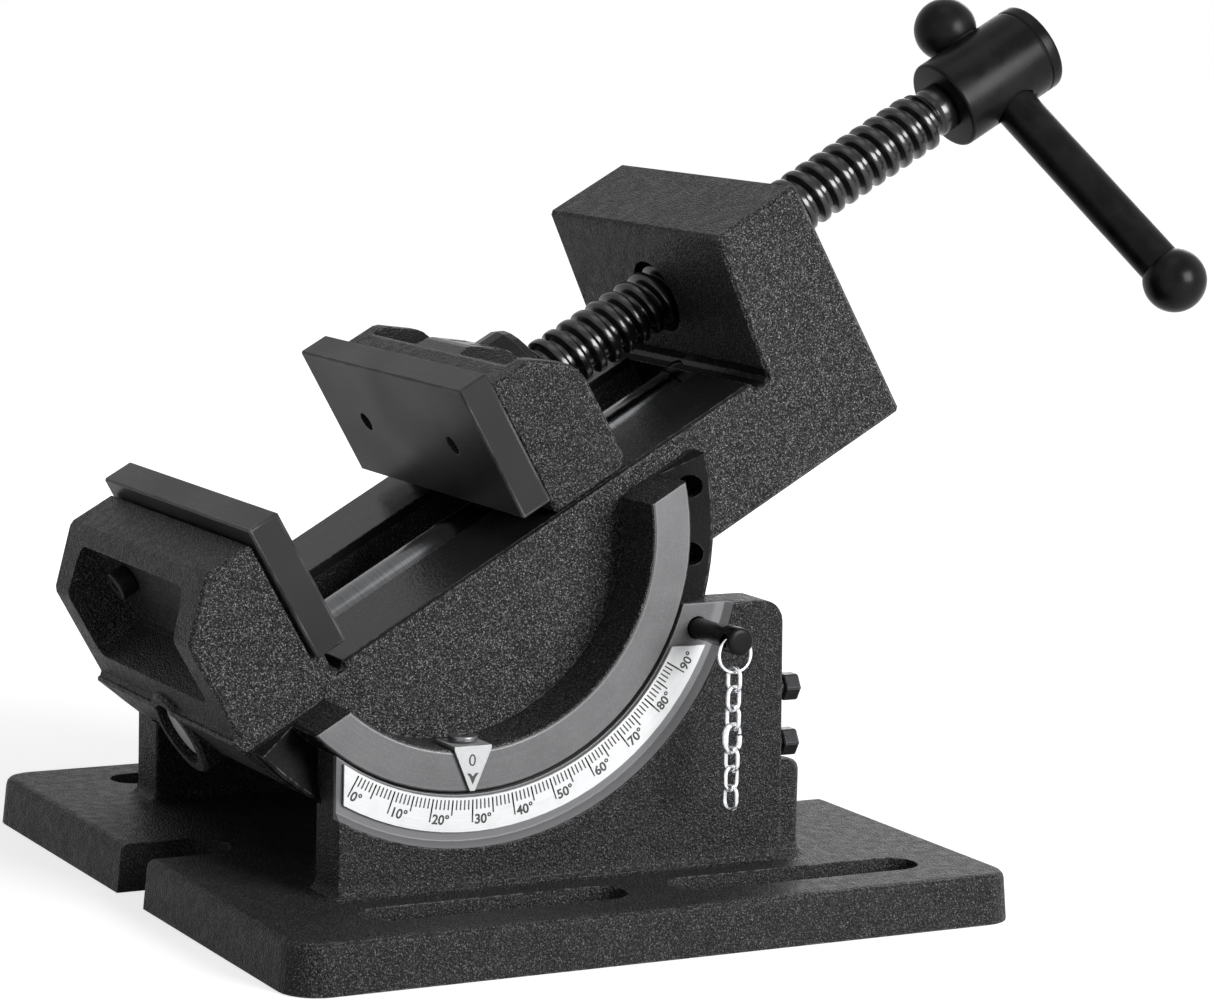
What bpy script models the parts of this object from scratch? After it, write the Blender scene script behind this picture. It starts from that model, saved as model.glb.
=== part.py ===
"""Cradle angle vise, 4 in jaws, built as an assembly of separate pieces.

World frame: metres, +Z up, X along the base in the tilting plane, Y across the jaws.
The origin is the centre of the base's underside.
The vise body's frame has its origin on the tilting axis: x along the bed, z away from it.
"""
import math

import bmesh
import bpy
from mathutils import Matrix, Vector

MM = 0.001

# Driving sizes
JAW_WIDTH = 101.6 * MM
JAW_OPENING = 58.0 * MM
TILT_AT_REST = math.radians(30.0)
BASE_LENGTH = 208.0 * MM
BASE_THICKNESS = 13.2 * MM
FLANGE_RADIUS = 75.0 * MM
ROCKER_CLEARANCE = 12.5 * MM
AXIS_X = -37.9 * MM
AXIS_Z = BASE_THICKNESS + ROCKER_CLEARANCE + FLANGE_RADIUS

# Clearances and shared machining values
SEAT_GAP = 0.3 * MM
RUNNING_GAP = 0.3 * MM
OVERRUN = 3.0 * MM
ROUND_STEPS = 28
ROUND_TURN_STEPS = 90
HALF_ROUND_STEP = math.pi / ROUND_STEPS
ARC_STEP = math.radians(4.0)

# Base plate
BASE_DRAFT = 1.0 * MM
BASE_CORNER = 9.0 * MM
BASE_TOP_ROUND = 2.2 * MM
END_SLOT_WIDTH = 19.0 * MM
END_SLOT_DEPTH = 27.0 * MM
SIDE_SLOT_WIDTH = 14.0 * MM
SIDE_SLOT_LENGTH = 74.5 * MM
SIDE_SLOT_PITCH = 88.0 * MM
SIDE_SLOT_SHIFT = 4.0 * MM

# Widths across the vise, each from the piece inside it
PLATE_OVERHANG = 2.0 * MM
BODY_HALF = JAW_WIDTH / 2 - PLATE_OVERHANG
FLANGE_ROOT_OUT = 2.9 * MM
FLANGE_CREST_OUT = 9.2 * MM
RIM_FACE_OUT = 17.9 * MM
FLANGE_ROOT = BODY_HALF + FLANGE_ROOT_OUT
FLANGE_CREST = BODY_HALF + FLANGE_CREST_OUT
RIM_FACE = BODY_HALF + RIM_FACE_OUT
CHEEK_GAP = 5.9 * MM
CHEEK_THICKNESS = 14.7 * MM
CHEEK_INNER = BODY_HALF + CHEEK_GAP
CHEEK_OUTER = CHEEK_INNER + CHEEK_THICKNESS
SIDE_RAIL = 38.6 * MM
SIDE_SLOT_OFFSET = 17.1 * MM
BASE_WIDTH = 2 * (CHEEK_OUTER + SIDE_RAIL)
SIDE_SLOT_Y = CHEEK_OUTER + SIDE_SLOT_OFFSET

# Cheeks that carry the cradle
CHEEK_REACH_LEFT = 38.1 * MM
CHEEK_REACH_RIGHT = 91.9 * MM
CHEEK_DROP = 17.3 * MM
CHEEK_LEFT = AXIS_X - CHEEK_REACH_LEFT
CHEEK_RIGHT = AXIS_X + CHEEK_REACH_RIGHT
CHEEK_TOP = AXIS_Z - CHEEK_DROP
CHEEK_CORNER = 6.0 * MM
CHEEK_EDGE = 0.8 * MM
CHEEK_FOOT = 3.0 * MM
CHEEK_DRAFT = 1.5 * MM
LUG_REACH = 8.0 * MM
LUG_HALF = 5.0 * MM
LUG_CLEARANCE = 0.5 * MM

# Rocker rim of the body, and the way in each cheek
FLANGE_REACH = 11.9 * MM
RIM_THICKNESS = 11.1 * MM
RIM_OUTER = FLANGE_RADIUS - FLANGE_REACH
RIM_INNER = RIM_OUTER - RIM_THICKNESS
RIM_EDGE = 0.8 * MM
RIM_TOP = -17.5 * MM
RIM_WALL = 13.0 * MM
SCALE_RECESS_OUT = 0.4 * MM
SCALE_RECESS_RADIUS = FLANGE_RADIUS + SCALE_RECESS_OUT
SCALE_RECESS_DEPTH = 2.3 * MM
SCALE_RECESS_CHAMFER = 1.8 * MM

# Scale plate
SCALE_RIM_GAP = 0.9 * MM
SCALE_WIDTH = 9.0 * MM
SCALE_INNER = RIM_OUTER + SCALE_RIM_GAP
SCALE_OUTER = SCALE_INNER + SCALE_WIDTH
SCALE_THICKNESS = 0.7 * MM
SCALE_LEFT_MARGIN = 1.8 * MM
SCALE_RIGHT_DROP = 11.0 * MM

# Body casting, in the body's frame
BED_TOP = -11.8 * MM
BED_BOTTOM = -43.3 * MM
BODY_EDGE = 0.9 * MM
BODY_REAR = 134.0 * MM
BLOCK_TOP = 28.0 * MM
BLOCK_FRONT_TOP = 106.5 * MM
BLOCK_FRONT_FOOT = 102.3 * MM
BLOCK_RELIEF_DEPTH = 2.4 * MM
BLOCK_RELIEF_LENGTH = 5.0 * MM
FIXED_SEAT = -46.2 * MM
FIXED_LEDGE_LENGTH = 3.1 * MM
FIXED_RELIEF_LENGTH = 2.8 * MM
FIXED_RELIEF_DEPTH = 1.8 * MM
FIXED_TOP = 28.3 * MM
FIXED_CREST_FRONT = -60.5 * MM
FIXED_FRONT = -73.5 * MM
FIXED_CHIN_TOP = 14.7 * MM
FIXED_STEP_Z = -13.4 * MM
FIXED_STEP_FRONT = -76.0 * MM
FIXED_HEEL_X = -69.5 * MM
FIXED_HEEL_Z = -30.0 * MM
FIXED_HEEL_FOOT = -60.0 * MM
POCKET_HALF = 39.0 * MM
POCKET_TOP = 24.5 * MM
POCKET_BOTTOM = -4.0 * MM
POCKET_BACK = -58.5 * MM
POCKET_BACK_HALF = 36.0 * MM
WAY_SLOT_HALF = 20.0 * MM
WAY_SLOT_FRONT = -34.0 * MM
WAY_SLOT_REAR = 97.0 * MM
CAVITY_HALF = 35.0 * MM
CAVITY_DEPTH = 11.0 * MM
CAVITY_FRONT = -50.0 * MM
CAVITY_REAR = 112.0 * MM

# Jaw plates
PLATE_THICKNESS = 9.1 * MM
PLATE_TOP = 32.6 * MM
PLATE_BOTTOM = -6.8 * MM
PLATE_CHAMFER = 0.5 * MM
PLATE_SCREW_Y = 27.3 * MM
PLATE_SCREW_Z = 12.6 * MM

# Jaw plate screws
CAP_SHANK = 2.5 * MM
CAP_HEAD = 4.2 * MM
CAP_HEAD_HEIGHT = 5.0 * MM
CAP_SOCKET = 2.0 * MM
CAP_SOCKET_DEPTH = 2.6 * MM
CAP_TIP_RECESS = 2.2 * MM
CAP_CHAMFER = 0.4 * MM

# Movable jaw, behind its plate
JAW_DEPTH = 24.8 * MM
JAW_TOP = 28.3 * MM
JAW_CREST_LENGTH = 13.0 * MM
JAW_SHOULDER_DROP = 12.5 * MM
JAW_SHOULDER_MID = 5.5 * MM
JAW_HEEL = 2.4 * MM
JAW_WEB = 8.8 * MM
JAW_WALL = 6.6 * MM
JAW_POCKET_FLOOR = -4.5 * MM
JAW_POCKET_INNER = 18.6 * MM
BOSS_RADIUS = 17.2 * MM
BOSS_LENGTH = 29.5 * MM
BOSS_ROUND = 3.0 * MM

# Guide rod and guide block
ROD_RADIUS = 8.0 * MM
ROD_Z = -22.0 * MM
ROD_FRONT_SETBACK = 2.0 * MM
ROD_REAR = 122.0 * MM
ROD_CHAMFER = 0.8 * MM
ROD_BOSS_RADIUS = 12.5 * MM
ROD_BOSS_FRONT = -75.2 * MM
ROD_COUNTERBORE = 9.3 * MM
ROD_COUNTERBORE_DEPTH = 3.0 * MM
GUIDE_LENGTH = 21.0 * MM
GUIDE_SETBACK = 2.0 * MM
GUIDE_BOTTOM = -34.0 * MM
GUIDE_SCREW_Y = 14.2 * MM
GUIDE_SCREW_SHANK = 2.2 * MM
GUIDE_SCREW_HEAD = 3.7 * MM
GUIDE_SCREW_HEAD_HEIGHT = 4.2 * MM
GUIDE_SCREW_BITE = 5.6 * MM
SET_SCREW_RADIUS = 2.5 * MM
SET_SCREW_LENGTH = 8.5 * MM
SET_SCREW_X = -44.0 * MM

# Lead screw, its nose and its retaining pins
SCREW_Z = 5.8 * MM
SCREW_RADIUS = 8.8 * MM
SCREW_NOSE_RADIUS = 6.0 * MM
SCREW_NOSE_LENGTH = 18.0 * MM
SCREW_GROOVE_WIDTH = 5.0 * MM
SCREW_GROOVE_SETBACK = 6.0 * MM
SCREW_NECK_LENGTH = 5.2 * MM
SCREW_NECK_RADIUS = 7.2 * MM
SCREW_SPIGOT_RADIUS = 5.0 * MM
SCREW_SPIGOT_LENGTH = 8.0 * MM
SCREW_CHAMFER = 0.8 * MM
THRUST_PIN_RADIUS = 2.0 * MM
THRUST_PIN_LENGTH = 19.0 * MM
NUT_COUNTERBORE = 10.8 * MM
NUT_COUNTERBORE_DEPTH = 2.5 * MM

# Handle
HUB_FRONT = 210.5 * MM
HUB_LENGTH = 34.5 * MM
HUB_RADIUS = 13.3 * MM
HUB_CHAMFER = 1.0 * MM
HUB_GROOVE_DEPTH = 0.4 * MM
HUB_GROOVE_WIDTH = 0.9 * MM
HUB_GROOVE_SETBACK = 4.0 * MM
BAR_RADIUS = 6.3 * MM
BAR_TURN = math.radians(38.7)
HUB_MOUTH_CHAMFER = 1.0 * MM
BALL_RADIUS = 9.1 * MM
BALL_SPACING = 100.6 * MM
BALL_SINK = 5.0 * MM
BAR_SPIGOT = 4.0 * MM

# Index pin and its holes
PIN_RADIUS = 2.8 * MM
PIN_INSET = 5.4 * MM
PIN_ORBIT = FLANGE_RADIUS - PIN_INSET
PIN_TURN = math.radians(70.0)
PIN_TIP_SHORT = 0.4 * MM
PIN_HEAD_RADIUS = 3.6 * MM
PIN_HEAD_LENGTH = 6.6 * MM
PIN_HEAD_STAND = 21.0 * MM
PIN_HEAD_ROUND = 1.2 * MM
PIN_GROOVE_DEPTH = 0.3 * MM
PIN_GROOVE_WIDTH = 0.6 * MM
PIN_EYE_RADIUS = 1.8 * MM
PIN_EYE_SETBACK = 3.4 * MM
INDEX_HOLE_DEPTH = 14.0 * MM
INDEX_STEP = math.radians(15.0)
INDEX_COUNT = 7

# Clamp bolts and shoes
BOLT_SHANK = 2.5 * MM
BOLT_HEAD_FLATS = 7.0 * MM
BOLT_HEAD_HEIGHT = 4.6 * MM
BOLT_STANDOFF = 2.6 * MM
BOLT_INSET = 6.7 * MM
BOLT_Y = CHEEK_INNER + BOLT_INSET
BOLT_UPPER_share = 0.6735
BOLT_LOWER_share = 0.9112
BOLT_UPPER_Z = AXIS_Z - BOLT_UPPER_share * RIM_OUTER
BOLT_LOWER_Z = AXIS_Z - BOLT_LOWER_share * RIM_OUTER

# Pointer
POINTER_TURN = math.radians(-30.0)
POINTER_WIDTH = 10.6 * MM
POINTER_TIP_WIDTH = 1.4 * MM
POINTER_THICKNESS = 0.8 * MM
POINTER_TAB_LENGTH = 10.5 * MM
POINTER_TIP_SETBACK = 0.7 * MM
POINTER_TIP_RADIUS = RIM_OUTER - POINTER_TIP_SETBACK
POINTER_SCREW_HEAD = 3.9 * MM
POINTER_SCREW_HEIGHT = 1.5 * MM
POINTER_SCREW_SHANK = 1.5 * MM
POINTER_SCREW_BITE = 5.0 * MM

# Chain
LINK_WIRE = 0.5 * MM
LINK_INNER_LENGTH = 5.3 * MM
LINK_INNER_WIDTH = 3.2 * MM
LINK_GAP = 0.25 * MM
RING_WIRE = 0.55 * MM
RING_RADIUS = 4.7 * MM
RING_LIFT = 0.9 * MM
LINK_TURN = math.radians(17.0)
SINGLE_LINKS = 3
TAIL_LINKS = 3
WIRE_SIDES = 6
LINK_ARC_STEPS = 6
CLASP_WIRE = 0.6 * MM
CLASP_INNER_LENGTH = 6.2 * MM
CLASP_INNER_WIDTH = 4.1 * MM
CLASP_GATE_share = 0.18
CLASP_GATE_START_share = 0.80


def clear_scene():
    for item in list(bpy.data.objects):
        bpy.data.objects.remove(item, do_unlink=True)


def material(name, colour, roughness, metallic):
    made = bpy.data.materials.new(name)
    made.use_nodes = True
    shader = made.node_tree.nodes["Principled BSDF"]
    shader.inputs["Base Color"].default_value = (*colour, 1.0)
    shader.inputs["Roughness"].default_value = roughness
    shader.inputs["Metallic"].default_value = metallic
    return made


def empty(name, location, parent=None, turn_y=0):
    made = bpy.data.objects.new(name, None)
    bpy.context.scene.collection.objects.link(made)
    made.parent = parent
    made.location = location
    made.rotation_euler = (0, turn_y, 0)
    return made


def piece(name, bm, stuff=None, parent=None, location=(0, 0, 0), smooth=None):
    """Makes an object from a bmesh, with its faces out, at a place under its parent."""
    bmesh.ops.remove_doubles(bm, verts=bm.verts, dist=MM / 10000)
    bmesh.ops.recalc_face_normals(bm, faces=bm.faces)
    mesh = bpy.data.meshes.new(name)
    bm.to_mesh(mesh)
    bm.free()
    if smooth is not None:
        mesh.shade_smooth()
        mesh.set_sharp_from_angle(angle=smooth)
    made = bpy.data.objects.new(name, mesh)
    bpy.context.scene.collection.objects.link(made)
    made.parent = parent
    made.location = location
    if stuff is not None:
        mesh.materials.append(stuff)
    return made


def tool(name, bm, parent=None, location=(0, 0, 0)):
    """A cutter or a lump to join, which isn't a piece itself."""
    made = piece(name, bm, None, parent, location)
    made.hide_render = True
    made.display_type = "WIRE"
    return made


def combine(body, other, operation):
    change = body.modifiers.new(other.name, "BOOLEAN")
    change.operation = operation
    change.solver = "EXACT"
    change.object = other


def cut(body, *cutters):
    for cutter in cutters:
        combine(body, cutter, "DIFFERENCE")


def join(body, *lumps):
    for lump in lumps:
        combine(body, lump, "UNION")


def box(x0, x1, y0, y1, z0, z1, edge=0):
    bm = bmesh.new()
    bmesh.ops.create_cube(bm, size=1)
    scale = Vector((x1 - x0, y1 - y0, z1 - z0))
    centre = Vector(((x0 + x1) / 2, (y0 + y1) / 2, (z0 + z1) / 2))
    for vert in bm.verts:
        vert.co = Vector(tuple(a * b for a, b in zip(vert.co, scale))) + centre
    if edge:
        bmesh.ops.bevel(bm, geom=bm.edges[:], offset=edge, segments=2, profile=0.5, affect="EDGES")
    return bm


def prism(outline, low, high, axis="Y", edge=0, segments=1):
    """Extrudes an outline along an axis, with its edges broken if asked."""
    places = {"Y": lambda a, b, c: (a, c, b), "Z": lambda a, b, c: (a, b, c), "X": lambda a, b, c: (c, a, b)}
    place = places[axis]
    bm = bmesh.new()
    near = [bm.verts.new(place(a, b, low)) for a, b in outline]
    far = [bm.verts.new(place(a, b, high)) for a, b in outline]
    bm.faces.new(near)
    bm.faces.new(list(reversed(far)))
    for i in range(len(outline)):
        j = (i + 1) % len(outline)
        bm.faces.new((near[i], far[i], far[j], near[j]))
    bmesh.ops.recalc_face_normals(bm, faces=bm.faces)
    if edge:
        bmesh.ops.bevel(bm, geom=bm.edges[:], offset=edge, segments=segments, profile=0.5, affect="EDGES")
    return bm


def lathe(profile, axis="X", steps=ROUND_STEPS, start=0, sweep=2 * math.pi):
    """Turns a profile of (radius, distance along the axis) round the axis."""
    places = {"X": lambda a, r, t: (a, r * math.cos(t), r * math.sin(t)),
              "Y": lambda a, r, t: (r * math.sin(t), a, -r * math.cos(t)),
              "Z": lambda a, r, t: (r * math.cos(t), r * math.sin(t), a)}
    place = places[axis]
    whole = abs(sweep - 2 * math.pi) < ARC_STEP / 100
    count = steps if whole else steps + 1
    bm = bmesh.new()
    rings = []
    for radius, along in profile:
        if radius == 0:
            rings.append([bm.verts.new(place(along, 0, 0))])
        else:
            turns = [start + sweep * k / steps for k in range(count)]
            rings.append([bm.verts.new(place(along, radius, t)) for t in turns])
    closed = profile[0][0] != 0
    pairs = list(zip(rings, rings[1:]))
    if closed:
        pairs.append((rings[-1], rings[0]))
    for first, second in pairs:
        for k in range(steps):
            n = (k + 1) % count
            corners = [first[k % len(first)], first[n % len(first)],
                       second[n % len(second)], second[k % len(second)]]
            unique = list(dict.fromkeys(corners))
            if len(unique) > 2:
                bm.faces.new(unique)
    if closed and not whole:
        bm.faces.new([ring[0] for ring in rings])
        bm.faces.new([ring[-1] for ring in reversed(rings)])
    return bm


def tapered_block(length, width, corner, levels, steps=6):
    """Stacks rounded rectangles: each level is a height and how far the outline lies outside."""
    bm = bmesh.new()
    rings = []
    for height, outset in levels:
        ring = []
        for quarter in range(4):
            sx = 1 if quarter in (0, 3) else -1
            sy = 1 if quarter in (0, 1) else -1
            for k in range(steps + 1):
                turn = math.pi / 2 * (quarter + k / steps)
                x = sx * (length / 2 - corner) + (corner + outset) * math.cos(turn)
                y = sy * (width / 2 - corner) + (corner + outset) * math.sin(turn)
                ring.append(bm.verts.new((x, y, height)))
        rings.append(ring)
    for low, high in zip(rings, rings[1:]):
        for k in range(len(low)):
            n = (k + 1) % len(low)
            bm.faces.new((low[k], low[n], high[n], high[k]))
    bm.faces.new(list(reversed(rings[0])))
    bm.faces.new(rings[-1])
    return bm


def quarter_round(start, rise, steps=3):
    """Heights and outsets of a rounded top edge."""
    return [(start + rise * math.sin(math.pi / 2 * k / steps),
             -rise * (1 - math.cos(math.pi / 2 * k / steps))) for k in range(steps + 1)]


def foot_round(start, rise, steps=3):
    """Heights and outsets of the hollow fillet where a wall meets a floor."""
    return [(start + rise * (1 - math.cos(math.pi / 2 * k / steps)),
             rise * (1 - math.sin(math.pi / 2 * k / steps))) for k in range(steps + 1)]


def stadium(length, width, steps=8):
    """Outline of a slot with round ends, centred, long along the first axis."""
    radius = width / 2
    reach = length / 2 - radius
    points = []
    for side, base in ((1, -math.pi / 2), (-1, math.pi / 2)):
        for k in range(steps + 1):
            turn = base + math.pi * k / steps
            points.append((side * reach + radius * math.cos(turn), radius * math.sin(turn)))
    return points


def hexagon(flats):
    radius = flats / 2 / math.cos(math.pi / 6)
    return [(radius * math.cos(math.pi / 3 * k), radius * math.sin(math.pi / 3 * k)) for k in range(6)]


def rim_profile(side):
    """Section of the rocker rim and its undercut flange, as radius and y."""
    slope = flange_slope()
    root = BODY_HALF - RIM_EDGE
    points = [(RIM_INNER, root), (FLANGE_RADIUS, root),
              (FLANGE_RADIUS, FLANGE_CREST - RIM_EDGE),
              (FLANGE_RADIUS - RIM_EDGE, FLANGE_CREST - slope * RIM_EDGE),
              (RIM_OUTER, FLANGE_ROOT), (RIM_OUTER, RIM_FACE - RIM_EDGE),
              (RIM_OUTER - RIM_EDGE, RIM_FACE), (RIM_INNER + RIM_EDGE, RIM_FACE),
              (RIM_INNER, RIM_FACE - RIM_EDGE)]
    return [(radius, side * y) for radius, y in points]


def way_profile(side):
    """What a cheek is turned out to, so that the rim and its flange run in it with their gap."""
    slope = flange_slope()
    lift = RUNNING_GAP * math.hypot(1, slope) + slope * RUNNING_GAP
    start = CHEEK_INNER - OVERRUN
    points = [(0, start), (FLANGE_RADIUS + RUNNING_GAP, start),
              (FLANGE_RADIUS + RUNNING_GAP, FLANGE_CREST + lift),
              (RIM_OUTER + RUNNING_GAP, FLANGE_ROOT + lift),
              (RIM_OUTER + RUNNING_GAP, CHEEK_OUTER + OVERRUN), (0, CHEEK_OUTER + OVERRUN)]
    return [(radius, side * y) for radius, y in points]


def flange_slope():
    return (FLANGE_CREST - FLANGE_ROOT) / (FLANGE_RADIUS - RIM_OUTER)


def arc_steps(sweep):
    return max(8, round(sweep / ARC_STEP))


def make_base(stuff):
    levels = [(0, BASE_DRAFT)] + quarter_round(BASE_THICKNESS - BASE_TOP_ROUND, BASE_TOP_ROUND)
    base = piece("base_casting", tapered_block(BASE_LENGTH, BASE_WIDTH, BASE_CORNER, levels), stuff)
    deep = BASE_THICKNESS + OVERRUN
    for side, where in ((-1, "left"), (1, "right")):
        long = 2 * END_SLOT_DEPTH
        cut(base, tool("end_slot_cutter_" + where,
                       prism(stadium(long, END_SLOT_WIDTH), -OVERRUN, deep, "Z"),
                       location=(side * BASE_LENGTH / 2, 0, 0)))
    for sy, row in ((-1, "near"), (1, "far")):
        for sx, where in ((-1, "left"), (1, "right")):
            cut(base, tool("side_slot_cutter_" + row + "_" + where,
                           prism(stadium(SIDE_SLOT_LENGTH, SIDE_SLOT_WIDTH), -OVERRUN, deep, "Z"),
                           location=(SIDE_SLOT_SHIFT + sx * SIDE_SLOT_PITCH / 2, sy * SIDE_SLOT_Y, 0)))
    thickness = CHEEK_OUTER - CHEEK_INNER
    middle = (CHEEK_INNER + CHEEK_OUTER) / 2
    length = CHEEK_RIGHT - CHEEK_LEFT
    centre = (CHEEK_RIGHT + CHEEK_LEFT) / 2
    sunk = BASE_THICKNESS - BASE_TOP_ROUND
    for side, where in ((-1, "near"), (1, "far")):
        corner = [(CHEEK_RIGHT - CHEEK_DRAFT - CHEEK_CORNER * (1 - math.sin(math.pi / 2 * k / 5)),
                   CHEEK_TOP - CHEEK_CORNER * (1 - math.cos(math.pi / 2 * k / 5))) for k in range(6)]
        outline = [(CHEEK_LEFT, sunk), (CHEEK_LEFT, CHEEK_TOP)] + corner + [(CHEEK_RIGHT, sunk)]
        low, high = sorted((side * CHEEK_INNER, side * CHEEK_OUTER))
        cheek = tool("cheek_lump_" + where, prism(outline, low, high, edge=CHEEK_EDGE, segments=2))
        levels = [(sunk, CHEEK_FOOT)] + foot_round(BASE_THICKNESS, CHEEK_FOOT)
        levels = levels + [(BASE_THICKNESS + 2 * CHEEK_FOOT, -CHEEK_EDGE)]
        foot = tool("cheek_foot_" + where, tapered_block(length, thickness, CHEEK_EDGE, levels, steps=3),
                    location=(centre, side * middle, 0))
        join(base, cheek, foot)
    lug_levels = [(sunk, CHEEK_FOOT)] + foot_round(BASE_THICKNESS, CHEEK_FOOT)
    lug_top = BOLT_LOWER_Z - BOLT_HEAD_FLATS / 2 / math.cos(math.pi / 6) - LUG_CLEARANCE
    lug_levels = lug_levels + quarter_round(lug_top - LUG_HALF / 2, LUG_HALF / 2)
    lug = tool("clamp_lug", tapered_block(2 * LUG_REACH, 2 * LUG_HALF, LUG_HALF - CHEEK_EDGE, lug_levels),
               location=(CHEEK_RIGHT, -BOLT_Y, 0))
    join(base, lug)
    for side, where in ((-1, "near"), (1, "far")):
        cut(base, tool("way_cutter_" + where, lathe(way_profile(side), "Y", ROUND_TURN_STEPS),
                       location=(AXIS_X, 0, AXIS_Z)))
    floor = CHEEK_OUTER - SCALE_RECESS_DEPTH
    recess = [(RIM_OUTER - OVERRUN, -floor), (SCALE_RECESS_RADIUS, -floor),
              (SCALE_RECESS_RADIUS + SCALE_RECESS_CHAMFER, -CHEEK_OUTER),
              (SCALE_RECESS_RADIUS + SCALE_RECESS_CHAMFER, -CHEEK_OUTER - OVERRUN),
              (RIM_OUTER - OVERRUN, -CHEEK_OUTER - OVERRUN)]
    cut(base, tool("scale_recess_cutter", lathe(recess, "Y", ROUND_TURN_STEPS, ARC_STEP / 2),
                   location=(AXIS_X, 0, AXIS_Z)))
    x, z = pin_place()
    bore = lathe([(0, CHEEK_INNER - OVERRUN), (PIN_RADIUS + RUNNING_GAP, CHEEK_INNER - OVERRUN),
                  (PIN_RADIUS + RUNNING_GAP, CHEEK_OUTER + OVERRUN), (0, CHEEK_OUTER + OVERRUN)], "Y", 20)
    bmesh.ops.scale(bore, vec=(1, -1, 1), verts=bore.verts)
    cut(base, tool("pin_bore_cutter", bore, location=(x, 0, z)))
    for z, where in ((BOLT_UPPER_Z, "upper"), (BOLT_LOWER_Z, "lower")):
        start = rim_reach(z) - 2 * OVERRUN
        bolt_bore = lathe([(0, start), (BOLT_SHANK + RUNNING_GAP, start),
                           (BOLT_SHANK + RUNNING_GAP, CHEEK_RIGHT + OVERRUN), (0, CHEEK_RIGHT + OVERRUN)],
                          "X", 18)
        cut(base, tool("bolt_bore_cutter_" + where, bolt_bore, location=(0, -BOLT_Y, z)))
    return base


def rim_reach(z):
    """Where the way's cylinder lies at a height, to the right of the tilting axis."""
    return AXIS_X + math.sqrt((RIM_OUTER + RUNNING_GAP) ** 2 - (z - AXIS_Z) ** 2)


def flange_reach(z):
    """How far from the rim a clamp bolt's tip stays at a height, so that the flange turns clear of it."""
    lift = AXIS_Z - z - BOLT_SHANK
    return AXIS_X + math.sqrt((FLANGE_RADIUS + RUNNING_GAP) ** 2 - lift ** 2)


def pin_place():
    return AXIS_X + PIN_ORBIT * math.sin(PIN_TURN), AXIS_Z - PIN_ORBIT * math.cos(PIN_TURN)


def make_scale_plate(stuff):
    floor = CHEEK_OUTER - SCALE_RECESS_DEPTH + SEAT_GAP
    left = CHEEK_LEFT + SCALE_LEFT_MARGIN - AXIS_X
    top = CHEEK_TOP - SCALE_RIGHT_DROP - AXIS_Z
    inner_start = -math.asin(-left / SCALE_INNER)
    outer_start = -math.asin(-left / SCALE_OUTER)
    inner_end = math.acos(-top / SCALE_INNER)
    outer_end = math.acos(-top / SCALE_OUTER)
    count = arc_steps(inner_end - inner_start)
    outline = []
    for k in range(count + 1):
        turn = outer_start + (outer_end - outer_start) * k / count
        outline.append((SCALE_OUTER * math.sin(turn), -SCALE_OUTER * math.cos(turn)))
    for k in range(count, -1, -1):
        turn = inner_start + (inner_end - inner_start) * k / count
        outline.append((SCALE_INNER * math.sin(turn), -SCALE_INNER * math.cos(turn)))
    bm = prism(outline, -floor - SCALE_THICKNESS, -floor)
    return piece("scale_plate", bm, stuff, location=(AXIS_X, 0, AXIS_Z))


def make_clamps(bolt_stuff, shoe_stuff):
    for z, where in ((BOLT_UPPER_Z, "upper"), (BOLT_LOWER_Z, "lower")):
        drop = math.asin((AXIS_Z - z) / (RIM_OUTER + RUNNING_GAP))
        shoe_start = rim_reach(z) + BOLT_SHANK * math.tan(drop) + 2 * SEAT_GAP
        shoe_end = flange_reach(z)
        shoe = lathe([(0, shoe_start), (BOLT_SHANK, shoe_start),
                      (BOLT_SHANK, shoe_end), (0, shoe_end)], "X", 16)
        piece("clamp_shoe_" + where, shoe, shoe_stuff, location=(0, -BOLT_Y, z), smooth=math.radians(40))
        tip = shoe_end + SEAT_GAP - CHEEK_RIGHT
        head = BOLT_STANDOFF
        bolt = piece("clamp_bolt_" + where,
                     lathe([(0, tip), (BOLT_SHANK - CAP_CHAMFER, tip), (BOLT_SHANK, tip + CAP_CHAMFER),
                            (BOLT_SHANK, head + CAP_CHAMFER), (0, head + CAP_CHAMFER)], "X", 16),
                     bolt_stuff, location=(CHEEK_RIGHT, -BOLT_Y, z), smooth=math.radians(40))
        hexed = tool("bolt_head_" + where,
                     prism(hexagon(BOLT_HEAD_FLATS), head, head + BOLT_HEAD_HEIGHT, "X", edge=CAP_CHAMFER),
                     location=(CHEEK_RIGHT, -BOLT_Y, z))
        join(bolt, hexed)


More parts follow.
